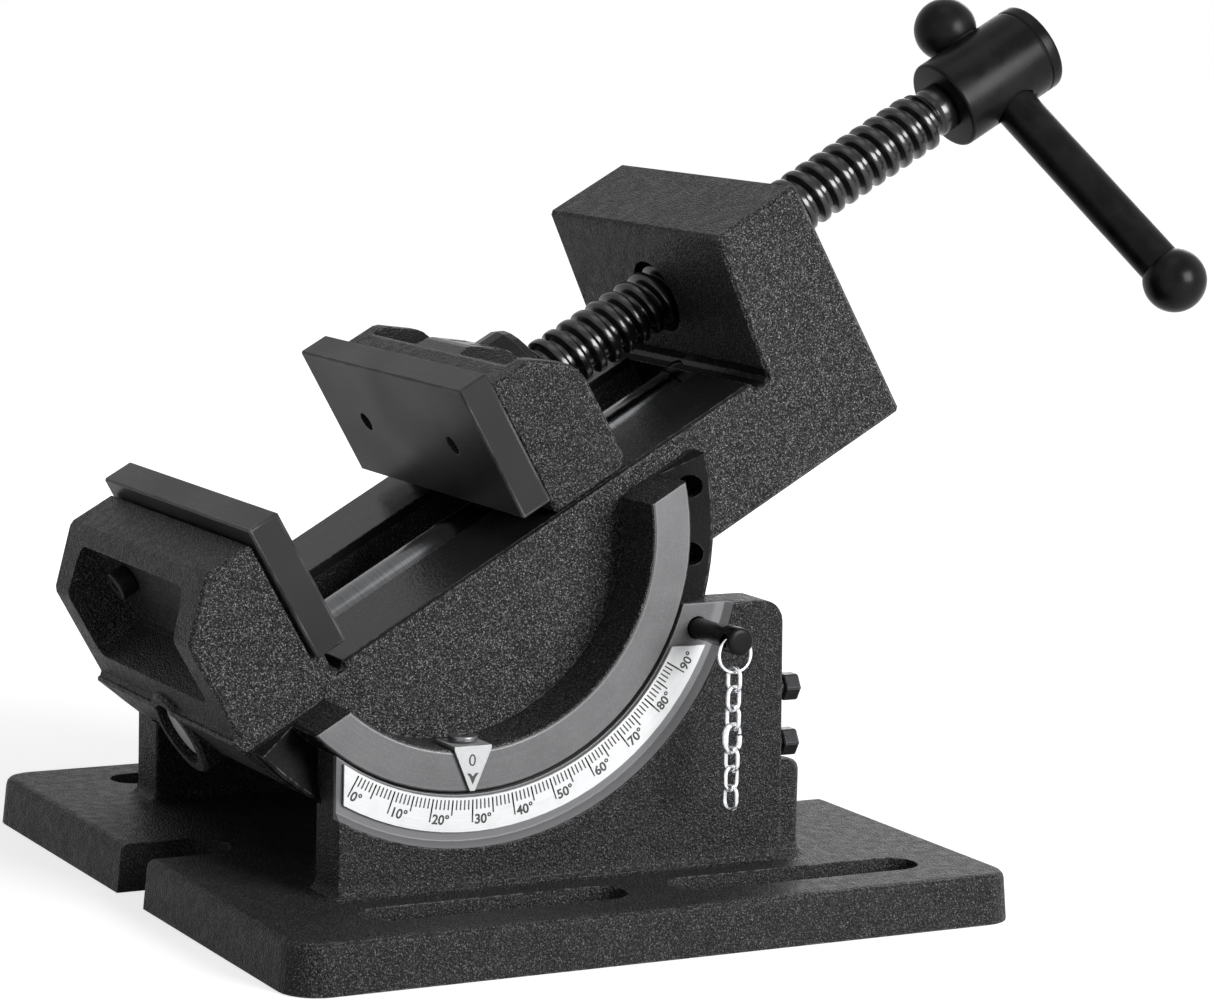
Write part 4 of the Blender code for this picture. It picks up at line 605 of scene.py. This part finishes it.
# The guide rod, along the bed
ROD_FRONT, ROD_REAR, ROD_RADIUS, ROD_EDGE = -0.0732, 0.1220, 0.0080, 0.0008
# The index pin: its shank, its head with a groove of three places, and the eye
PIN_RADIUS, PIN_HEAD, HEAD_LONG, HEAD_TOP, HEAD_EDGE = 0.0028, 0.0036, 0.0066, 0.0026, 0.0004
PIN_GROOVE, PIN_GROOVE_DEEP = (0.0015, 0.0018, 0.0021), 0.0003
EYE_RADIUS, EYE_HALF, EYE_IN = 0.0018, 0.006, 0.0034
SMALL_EDGE = 0.0004


def make_handle(material):
    """Turned head with its cross bore, the sliding bar and its two balls."""
    spindle = bed_matrix(SCREW_W)
    profile = rounded([(0.0, HUB_FRONT), (HUB_RADIUS, HUB_FRONT), (HUB_RADIUS, HUB_GROOVE - GROOVE_HALF),
                       (HUB_RADIUS - GROOVE_DEEP, HUB_GROOVE), (HUB_RADIUS, HUB_GROOVE + GROOVE_HALF),
                       (HUB_RADIUS, HUB_REAR), (0.0, HUB_REAR)], HUB_EDGE, 4)
    line = Vector((0, math.sin(BAR_TURN), math.cos(BAR_TURN)))
    across = facing(line, ((HUB_FRONT + HUB_REAR) / 2, 0, 0))
    straight = BORE_HALF - SINK
    cross = lathe([(0.0, -BORE_HALF), (BORE_RADIUS + SINK, -BORE_HALF), (BORE_RADIUS, -straight),
                   (BORE_RADIUS, straight), (BORE_RADIUS + SINK, BORE_HALF), (0.0, BORE_HALF)])
    cross.transform(across)
    bm = carve(lathe(profile, 96), cross)
    bm.transform(spindle)
    finished("handle_head", bm, material, "screw", "handle_hub", 32)
    bm = lathe(rounded(rod_profile(BAR_RADIUS, BALL_NEAR + BAR_SHORT, BALL_FAR - BAR_SHORT), SMALL_EDGE), 48)
    bm.transform(spindle @ across)
    finished("handle_rod", bm, material, "bar", "handle_bar")
    last = math.pi - math.asin(BORE_RADIUS / BALL_RADIUS)
    for where, centre, way in (("near", BALL_NEAR, 1), ("far", BALL_FAR, -1)):
        turns = [last * k / BALL_STEPS for k in range(BALL_STEPS + 1)]
        profile = [(BALL_RADIUS * math.sin(t), centre - way * BALL_RADIUS * math.cos(t)) for t in turns]
        profile[0] = (0.0, profile[0][1])
        profile += [(BORE_RADIUS, centre + way * BALL_SEAT), (0.0, centre + way * BALL_SEAT)]
        bm = lathe(profile, 56)
        bm.transform(spindle @ across)
        finished("handle_knob_" + where, bm, material, "bar", "handle_ball_" + where, 40)


def make_guide_rod(material):
    """The ground bar that the jaw's block runs on."""
    bm = lathe(rounded(rod_profile(ROD_RADIUS, ROD_FRONT, ROD_REAR), ROD_EDGE), 72)
    bm.transform(bed_matrix(ROD_W))
    finished("guide_rod_ground", bm, material, "cradle", "guide_rod")


def make_index_pin(material):
    """Pin with its grooved head and the eye that the chain's ring goes through."""
    low, high, middle = node_box("index_pin")
    tip, face = -high.y, -low.y
    neck = face - HEAD_LONG
    groove_in, groove_foot, groove_out = (neck + place for place in PIN_GROOVE)
    profile = [(0.0, tip), (PIN_RADIUS, tip), (PIN_RADIUS, neck), (PIN_HEAD, neck), (PIN_HEAD, groove_in),
               (PIN_HEAD - PIN_GROOVE_DEEP, groove_foot), (PIN_HEAD, groove_out), (PIN_HEAD, face - HEAD_EDGE),
               (HEAD_TOP, face), (0.0, face)]
    eye = lathe(rod_profile(EYE_RADIUS, -EYE_HALF, EYE_HALF), 32)
    eye.transform(facing((0, 0, 1), (face - EYE_IN, 0, 0)))
    bm = carve(lathe(rounded(profile, SMALL_EDGE), 56), eye)
    bm.transform(Matrix(((0, 0, 1, middle.x), (-1, 0, 0, 0), (0, -1, 0, middle.z), (0, 0, 0, 1))))
    finished("index_pin_turned", bm, material, "pin", "index_pin")


# ---------------------------------------------------------------- lead screw

# Rounded trapezoidal thread with five turns to the inch: each profile point is a share of the lead and of the depth
LEAD = 0.00508
THREAD_START, THREAD_END = 0.0604, 0.2050
THREAD_MAJOR, THREAD_MINOR = 0.0088, 0.0064
THREAD_SHAPE = ((0.00, 0.86), (0.05, 0.96), (0.13, 1.0), (0.34, 1.0), (0.42, 0.96), (0.47, 0.86),
                (0.57, 0.12), (0.61, 0.02), (0.66, 0.0), (0.83, 0.0), (0.88, 0.02), (0.92, 0.14))
THREAD_STEPS = 40
RUN_IN, RUN_OUT = 0.4 * LEAD, 0.6 * LEAD
# The plain ends are turned about the screw's line and reach into the thread's core: radii, then places along the bed
CORE, COLLAR, SPIGOT = THREAD_MINOR * 0.98, 0.0072, 0.0050
NOSE, NOSE_TIP, NOSE_GROOVE = 0.0060, 0.0052, 0.0037
CORE_IN, NECK_FOOT, NECK_RISE, NOSE_RISE, END_ROUND = 0.004, 0.0002, 0.0010, 0.0003, 0.0003
COLLAR_END, SPIGOT_END = 0.2102, 0.2182
NOSE_START, NOSE_CHAMFER, GROOVE_START, GROOVE_END = 0.0421, 0.0429, 0.0456, 0.0506
NECK_PROFILE = ((0.0, THREAD_END - CORE_IN), (CORE, THREAD_END - CORE_IN), (CORE, THREAD_END - NECK_FOOT),
                (COLLAR, THREAD_END + NECK_RISE), (COLLAR, COLLAR_END), (SPIGOT, COLLAR_END), (SPIGOT, SPIGOT_END),
                (0.0, SPIGOT_END))
NOSE_PROFILE = ((0.0, NOSE_START), (NOSE_TIP, NOSE_START), (NOSE, NOSE_CHAMFER), (NOSE, GROOVE_START),
                (NOSE_GROOVE, GROOVE_START), (NOSE_GROOVE, GROOVE_END), (NOSE, GROOVE_END), (NOSE, THREAD_START),
                (CORE, THREAD_START + NOSE_RISE), (CORE, THREAD_START + CORE_IN), (0.0, THREAD_START + CORE_IN))


def thread_row(bm, turn, share, rise):
    """One point of the thread's profile taken once round the screw, running out at the thread's ends."""
    row = []
    for k in range(THREAD_STEPS):
        along = THREAD_START - LEAD + LEAD * (turn + share + k / THREAD_STEPS)
        runout = max(0.0, min(1.0, (THREAD_END - along) / RUN_OUT, (along - THREAD_START) / RUN_IN))
        radius = THREAD_MINOR + (THREAD_MAJOR - THREAD_MINOR) * rise * runout
        along = min(max(along, THREAD_START), THREAD_END)
        angle = turn_at(k, THREAD_STEPS)
        row.append(bm.verts.new((along, -radius * math.sin(angle), radius * math.cos(angle))))
    return row


def make_lead_screw(material):
    """Single-start thread on the screw, then its smooth neck and the nose that turns in the jaw."""
    bm = bmesh.new()
    turns = int((THREAD_END - THREAD_START) / LEAD) + 3
    rows = [thread_row(bm, turn, share, rise) for turn in range(turns) for share, rise in THREAD_SHAPE]
    count = len(THREAD_SHAPE)
    for index in range(len(rows) - count):
        here, after = rows[index], rows[index + 1]
        for k in range(THREAD_STEPS - 1):
            bm.faces.new((here[k], after[k], after[k + 1], here[k + 1]))
        next_turn = rows[min(index + 1 + count, len(rows) - 1)]
        corners = (here[-1], after[-1], next_turn[0], rows[index + count][0])
        bm.faces.new(list(dict.fromkeys(corners)))
    for profile in (NECK_PROFILE, NOSE_PROFILE):
        join(bm, lathe(rounded(profile, END_ROUND)))
    bm.transform(bed_matrix(SCREW_W))
    finished("lead_screw_thread", bm, material, "screw", "lead_screw", 40)


# ---------------------------------------------------------------- scale and pointer marks

# The scale: its face, its zero, and the marks' steps in degrees with their lengths
SCALE_FACE = -0.0681
SCALE_ZERO, SCALE_END = math.radians(-30), 90
TICKS = ((1, 0.0026), (5, 0.0040), (10, 0.0060))
TICK_INSIDE, TICK_WIDTH, TICK_HIGH = 0.0646, 0.00040, 0.00008
NUMBER_RADIUS, NUMBER_SIZE, NUMBER_BOLD, NUMBER_AFTER = 0.0699, 0.0035, 0.00009, 0.5
INK_HIGH = 0.00006
# The pointer stands off the rim, and its zero and arrow hang below the tilting axis
POINTER_OFF, POINTER_THICK = 0.0003, 0.0008
POINTER_FACE = -RIM_FACE - POINTER_OFF - POINTER_THICK
ZERO_LEFT, ZERO_DOWN, ZERO_SIZE, ARROW_DOWN = 0.0013, 0.0545, 0.0044, 0.0580
# The small arrow's right half, from its notch to its point: across and up
ARROW = ((0, -0.0006), (0.0002, -0.0004), (0.0007, 0.0002), (0.0017, 0.0003), (0.0009, -0.0007), (0, -0.0027))


def tick_group():
    """Geometry nodes that lay straight marks along an arc about an axis parallel to y."""
    tree = bpy.data.node_groups.new("arc_ticks", "GeometryNodeTree")
    inputs = {"Count": "Int", "Step": "Float", "Start": "Float", "Radius": "Float", "Length": "Float",
              "Width": "Float", "Height": "Float", "Centre": "Vector", "Material": "Material"}
    for name, kind in inputs.items():
        tree.interface.new_socket(name, in_out="INPUT", socket_type="NodeSocket" + kind)
    tree.interface.new_socket("Geometry", in_out="OUTPUT", socket_type="NodeSocketGeometry")
    source = add_node(tree, "NodeGroupInput").out.node
    given = {name: Val(tree, source.outputs[name]) for name in inputs}
    turned = add_node(tree, "GeometryNodeInputIndex") * given["Step"] + given["Start"]
    middle = given["Length"] * 0.5 + given["Radius"]
    arm = {0: turned.math("SINE") * middle, 2: turned.math("COSINE") * middle * -1.0}
    place = add_node(tree, "ShaderNodeCombineXYZ", arm)
    place = add_node(tree, "ShaderNodeVectorMath", {0: place, 1: given["Centre"]}, operation="ADD")
    points = add_node(tree, "GeometryNodePoints", {"Count": given["Count"], "Position": place})
    size = add_node(tree, "ShaderNodeCombineXYZ", {0: given["Width"], 1: given["Height"], 2: given["Length"]})
    bar = add_node(tree, "GeometryNodeMeshCube", {"Size": size})
    turn = add_node(tree, "ShaderNodeCombineXYZ", {1: turned * -1.0})
    marks = add_node(tree, "GeometryNodeInstanceOnPoints", {"Points": points, "Instance": bar, "Rotation": turn})
    real = add_node(tree, "GeometryNodeRealizeInstances", {"Geometry": marks})
    inked = add_node(tree, "GeometryNodeSetMaterial", {"Geometry": real, "Material": given["Material"]})
    tree.links.new(inked.out, tree.nodes.new("NodeGroupOutput").inputs[0])
    return tree


def from_nodes(name, tree, values, material, body):
    """Runs a node group on an empty mesh and keeps the result as a plain mesh."""
    made = add_object(name, bpy.data.meshes.new(name))
    change = made.modifiers.new("marks", "NODES")
    change.node_group = tree
    sockets = {item.name: item.identifier for item in tree.interface.items_tree if item.in_out == "INPUT"}
    for key, value in values.items():
        change[sockets[key]] = value
    change[sockets["Material"]] = material
    mesh = as_mesh(made)
    made.modifiers.clear()
    made.data = mesh
    settle(made, material, body)


def lettering(words, size, matrix, bold=0.0):
    """Raised generic lettering as a bmesh, where the matrix puts it."""
    curve = bpy.data.curves.new("lettering", "FONT")
    curve.body = words
    curve.size = size
    curve.align_x = "LEFT"
    curve.align_y = "CENTER"
    curve.extrude = INK_HIGH
    curve.offset = bold
    curve.resolution_u = 6
    holder = add_object("lettering", curve)
    mesh = as_mesh(holder)
    bpy.data.objects.remove(holder)
    mesh.transform(matrix)
    return as_bmesh(mesh)


def make_scale_marks(ink):
    """Degree marks and numbers of the tilt scale."""
    tree = tick_group()
    centre = Vector((AXIS.x, SCALE_FACE, AXIS.z))
    for step, length in TICKS:
        from_nodes("scale_ticks_%d" % step, tree,
                   {"Count": SCALE_END // step + 1, "Step": math.radians(step), "Start": SCALE_ZERO,
                    "Radius": TICK_INSIDE, "Length": length, "Width": TICK_WIDTH, "Height": TICK_HIGH,
                    "Centre": centre}, ink, "base")
    whole = bmesh.new()
    for value in range(0, SCALE_END + 1, 10):
        turn = SCALE_ZERO + math.radians(value + NUMBER_AFTER)
        inward = Vector((-math.sin(turn), 0, math.cos(turn)))
        right = (math.cos(turn), 0, math.sin(turn))
        join(whole, lettering("%d°" % value, NUMBER_SIZE, flat_on(right, inward, centre - inward * NUMBER_RADIUS),
                              NUMBER_BOLD))
    finished("scale_numbers", whole, ink, "base", smooth=None)


def make_pointer_marks(ink):
    """The zero and the small arrow on the pointer's face."""
    place = Vector((AXIS.x - ZERO_LEFT, POINTER_FACE, AXIS.z - ZERO_DOWN))
    bm = lettering("0", ZERO_SIZE, flat_on((1, 0, 0), (0, 0, 1), place))
    x, z = AXIS.x, AXIS.z - ARROW_DOWN
    for side in (-1, 1):
        back, front = ([bm.verts.new((x + side * a, POINTER_FACE - rise, z + c)) for a, c in ARROW]
                       for rise in (0.0, INK_HIGH))
        bm.faces.new(back)
        bm.faces.new(list(reversed(front)))
        for k in range(len(ARROW)):
            n = (k + 1) % len(ARROW)
            bm.faces.new((back[k], back[n], front[n], front[k]))
    finished("pointer_marks", bm, ink, "cradle", smooth=None)


# ---------------------------------------------------------------- chain

# Sizes of the wire's centre line, and the wire's radii; shares of an outline count round it from its right side.
# Links hang three above and three below the clasp, each a quarter turn from the one before it.
LINKS, LINKS_ABOVE = 6, 3
LINK_LONG, LINK_WIDE, LINK_WIRE, WELD = 0.0063, 0.0042, 0.00055, 0.00003
WELD_AT = (18, 19)
RING_RADIUS, RING_WIRE, RING_STEPS = 0.0047, 0.00048, 56
CLASP_LONG, CLASP_WIDE = 0.0074, 0.0053
HOOK_FROM, HOOK_TO, HOOK_STEPS, HOOK_THIN, HOOK_SWELL = 0.995, 1.785, 64, 0.00055, 0.00035
GATE_FROM, GATE_TO, GATE_STEPS, GATE_END, GATE_WIRE = 0.80, 0.98, 16, 0.00050, 0.00078
CHAIN_TURNS = (math.radians(17 - 90), math.radians(17))


def loop(length, width, steps=12):
    """Centre line of an oval link in the plane y = 0."""
    radius, reach = width / 2, (length - width) / 2
    points = []
    for side, base in ((1, 0), (-1, math.pi)):
        for k in range(steps + 1):
            turn = base + math.pi * k / steps
            points.append(Vector((radius * math.cos(turn), 0, side * reach + radius * math.sin(turn))))
    return points


def wire(points, radii, sides=12, closed=True):
    """A round wire along points in the plane y = 0, with a radius at each point."""
    bm = bmesh.new()
    rings = []
    count = len(points)
    for i, point in enumerate(points):
        before = points[i - 1] if closed or i else point
        after = points[(i + 1) % count] if closed or i < count - 1 else point
        along = (after - before).normalized()
        out = ACROSS.cross(along)
        rings.append([bm.verts.new(point + radii[i] * (math.cos(t) * out + math.sin(t) * ACROSS))
                      for t in (turn_at(k, sides) for k in range(sides))])
    pairs = list(zip(rings, rings[1:])) + ([(rings[-1], rings[0])] if closed else [])
    for first, second in pairs:
        for k in range(sides):
            n = (k + 1) % sides
            bm.faces.new((first[k], first[n], second[n], second[k]))
    if not closed:
        bm.faces.new(rings[0])
        bm.faces.new(list(reversed(rings[-1])))
    return bm


def part_of(points, low, high, count):
    """Points along a closed line between two shares of its length."""
    ring = points + points[:1]
    steps = [(b - a).length for a, b in zip(ring, ring[1:])]
    whole = sum(steps)
    found = []
    for k in range(count + 1):
        want = (low + (high - low) * k / count) % 1.0 * whole
        index = 0
        while index < len(steps) - 1 and want > steps[index]:
            want -= steps[index]
            index += 1
        share = min(1.0, want / steps[index]) if steps[index] else 0.0
        found.append(ring[index].lerp(ring[index + 1], share))
    return found


def make_chain(material):
    """Each link, the ring and the clasp, as round wire with its welded joint."""
    def hang(name, bm, place, body, node, smooth=60):
        bm.transform(place)
        finished(name, bm, material, body, node, smooth)

    def middle_of(node):
        return Matrix.Translation(node_box(node)[2])

    points = loop(LINK_LONG, LINK_WIDE)
    radii = [LINK_WIRE + (WELD if i in WELD_AT else 0.0) for i in range(len(points))]
    for number in range(LINKS):
        node = "chain_link_%02d" % (number + 1)
        place = middle_of(node) @ Matrix.Rotation(CHAIN_TURNS[number % LINKS_ABOVE % 2], 4, "Z")
        body = "strand" if number < LINKS_ABOVE else "tail"
        hang("link_%02d" % (number + 1), wire(points, radii), place, body, node)
    circle = [Vector((RING_RADIUS * math.cos(t), 0, RING_RADIUS * math.sin(t)))
              for t in (turn_at(k, RING_STEPS) for k in range(RING_STEPS))]
    hang("ring_wire", wire(circle, [RING_WIRE] * RING_STEPS), middle_of("chain_ring"), "ring", "chain_ring")
    place = middle_of("clasp_hook") @ Matrix.Rotation(CHAIN_TURNS[1], 4, "Z")
    outline = loop(CLASP_LONG, CLASP_WIDE, 24)
    radii = [HOOK_THIN + HOOK_SWELL * math.sin(math.pi * k / HOOK_STEPS) ** 2 for k in range(HOOK_STEPS + 1)]
    hook = wire(part_of(outline, HOOK_FROM, HOOK_TO, HOOK_STEPS), radii, closed=False)
    hang("clasp_body", hook, place, "strand", "clasp_hook")
    radii = [GATE_END] + [GATE_WIRE] * (GATE_STEPS - 1) + [GATE_END]
    gate = wire(part_of(outline, GATE_FROM, GATE_TO, GATE_STEPS), radii, closed=False)
    hang("clasp_lever", gate, place, "strand", "clasp_gate", 50)


# ---------------------------------------------------------------- stage

# Lamps have a place, what they look at, a side in metres and a power in watts
ROOM_LIGHT = 0.075
LAMPS = (("key", (0.50, -1.35, 0.55), (0.0, 0, 0.1), 0.7, 37.0),
         ("overhead", (-0.10, -0.20, 1.45), (0.0, 0, 0.1), 0.7, 2.0),
         ("left", (-1.15, -0.45, 0.45), (-0.05, 0, 0.1), 0.5, 0.5),
         ("behind", (0.95, 0.95, 0.55), (0.05, 0, 0.12), 0.7, 4.0))

FLOOR_HALF, FLOOR_DROP, FLOOR_GREY = 6.0, 0.0003, 0.50
GLOW_NEAR, GLOW_FROM, GLOW_TO = 0.76, 0.12, 0.55

# The camera that was fitted to the photograph
CAMERA_RIGHT = Vector((0.8853926, -0.4641813, 0.0248140))
CAMERA_UP = Vector((0.0433027, 0.1355107, 0.9898291))
CAMERA_AHEAD = Vector((0.4628227, 0.8753129, -0.1400804))
CAMERA_PLACE = (-0.4786033, -0.9567245, 0.2532056)
SENSOR, FOCAL, SHIFT_X, SHIFT_Y = 36.0, 116.892, 0.021716, 0.002402


def seen_directly(tree):
    """One for what the camera sees, also in gloss and through glass, and zero for what lights the object."""
    seen = add_node(tree, "ShaderNodeLightPath", out="Is Camera Ray")
    path = seen.out.node
    for name in ("Is Glossy Ray", "Is Transmission Ray"):
        seen = seen.math("MAXIMUM", Val(tree, path.outputs[name]))
    return seen


def make_floor():
    """A pale floor that looks white away from the object and keeps its shadow."""
    bm = bmesh.new()
    bmesh.ops.create_grid(bm, x_segments=1, y_segments=1, size=FLOOR_HALF)
    mesh = bpy.data.meshes.new("floor")
    bm.to_mesh(mesh)
    bm.free()
    floor = add_object("floor", mesh)
    floor.location = (0, 0, -FLOOR_DROP)
    stuff = bpy.data.materials.new("floor_white")
    stuff.use_nodes = True
    tree = stuff.node_tree
    place = add_node(tree, "ShaderNodeTexCoord", out="Object")
    length = add_node(tree, "ShaderNodeVectorMath", {0: place}, "Value", operation="LENGTH")
    glow = seen_directly(tree) * length.step(GLOW_FROM, GLOW_TO, GLOW_NEAR, 1.0)
    for name, value in (("Base Color", (FLOOR_GREY, FLOOR_GREY, FLOOR_GREY, 1.0)), ("Roughness", 0.9),
                        ("Specular IOR Level", 0.0), ("Emission Strength", 1.0), ("Emission Color", glow)):
        put(tree, tree.nodes["Principled BSDF"].inputs[name], value)
    mesh.materials.append(stuff)


def make_room():
    """White surroundings that light the object only a little, and the lamps."""
    world = bpy.data.worlds.new("studio")
    SCENE.world = world
    world.use_nodes = True
    tree = world.node_tree
    back = tree.nodes["Background"]
    back.inputs["Color"].default_value = (1, 1, 1, 1)
    put(tree, back.inputs["Strength"], seen_directly(tree) * (1.0 - ROOM_LIGHT) + ROOM_LIGHT)
    for name, place, aim, size, power in LAMPS:
        lamp = bpy.data.lights.new(name, "AREA")
        lamp.shape = "SQUARE"
        lamp.size = size
        lamp.energy = power
        made = add_object(name, lamp)
        made.location = place
        made.rotation_euler = (Vector(aim) - Vector(place)).to_track_quat("-Z", "Y").to_euler()


def make_camera():
    """The camera at the photograph's viewing angle."""
    lens = bpy.data.cameras.new("camera")
    lens.sensor_fit = "HORIZONTAL"
    lens.sensor_width = SENSOR
    lens.lens = FOCAL
    lens.shift_x, lens.shift_y = SHIFT_X, SHIFT_Y
    lens.clip_start, lens.clip_end = 0.05, 50.0
    camera = add_object("camera", lens)
    place = Matrix((CAMERA_RIGHT, CAMERA_UP, -CAMERA_AHEAD)).transposed().to_4x4()
    place.translation = CAMERA_PLACE
    camera.matrix_world = place
    SCENE.camera = camera


def give(material, *names):
    """Gives carried-over nodes a material."""
    for name in names:
        mesh = NODES[name].data
        mesh.materials.clear()
        mesh.materials.append(material)


def main():
    SCENE.view_settings.view_transform = "Standard"
    make_floor()
    make_room()
    make_camera()
    give(cast_material("grained_paint_base", base_machined, dust_and_glint_share=0.55), "base_casting")
    give(cast_material("grained_paint_body", body_machined, body_smooth, steel=grey(0.115, 0.118)), "vise_body")
    give(cast_material("grained_paint_jaw", smooth=jaw_smooth, dust_and_glint_share=0.85), "movable_jaw", "guide_block")
    give(plate_material(), "fixed_jaw_plate", "movable_jaw_plate")
    make_handle(black_steel("black_oxide_handle"))
    make_index_pin(black_steel("black_oxide_pin", rings=False))
    make_lead_screw(black_steel("black_oxide_thread", rough=0.17, rings=False, specular=0.42))
    make_guide_rod(bright_steel())
    give(scale_material(), "scale_plate")
    give(pointer_material(), "pointer")
    bolts = bolt_material("blackened_bolt", grey(0.014, 0.015), 0.36, 0.4)
    give(bolts, "clamp_bolt_upper", "clamp_bolt_lower", "rod_set_screw", "guide_block_screw_near",
         "guide_block_screw_far", "thrust_pin_near", "thrust_pin_far")
    make_screws(bolts, bolt_material("pointer_screw_steel", grey(0.11, 0.115), 0.3, 0.7))
    give(brass_material(), "clamp_shoe_upper", "clamp_shoe_lower")
    make_chain(chain_material())
    ink = ink_material()
    make_scale_marks(ink)
    make_pointer_marks(ink)


main()
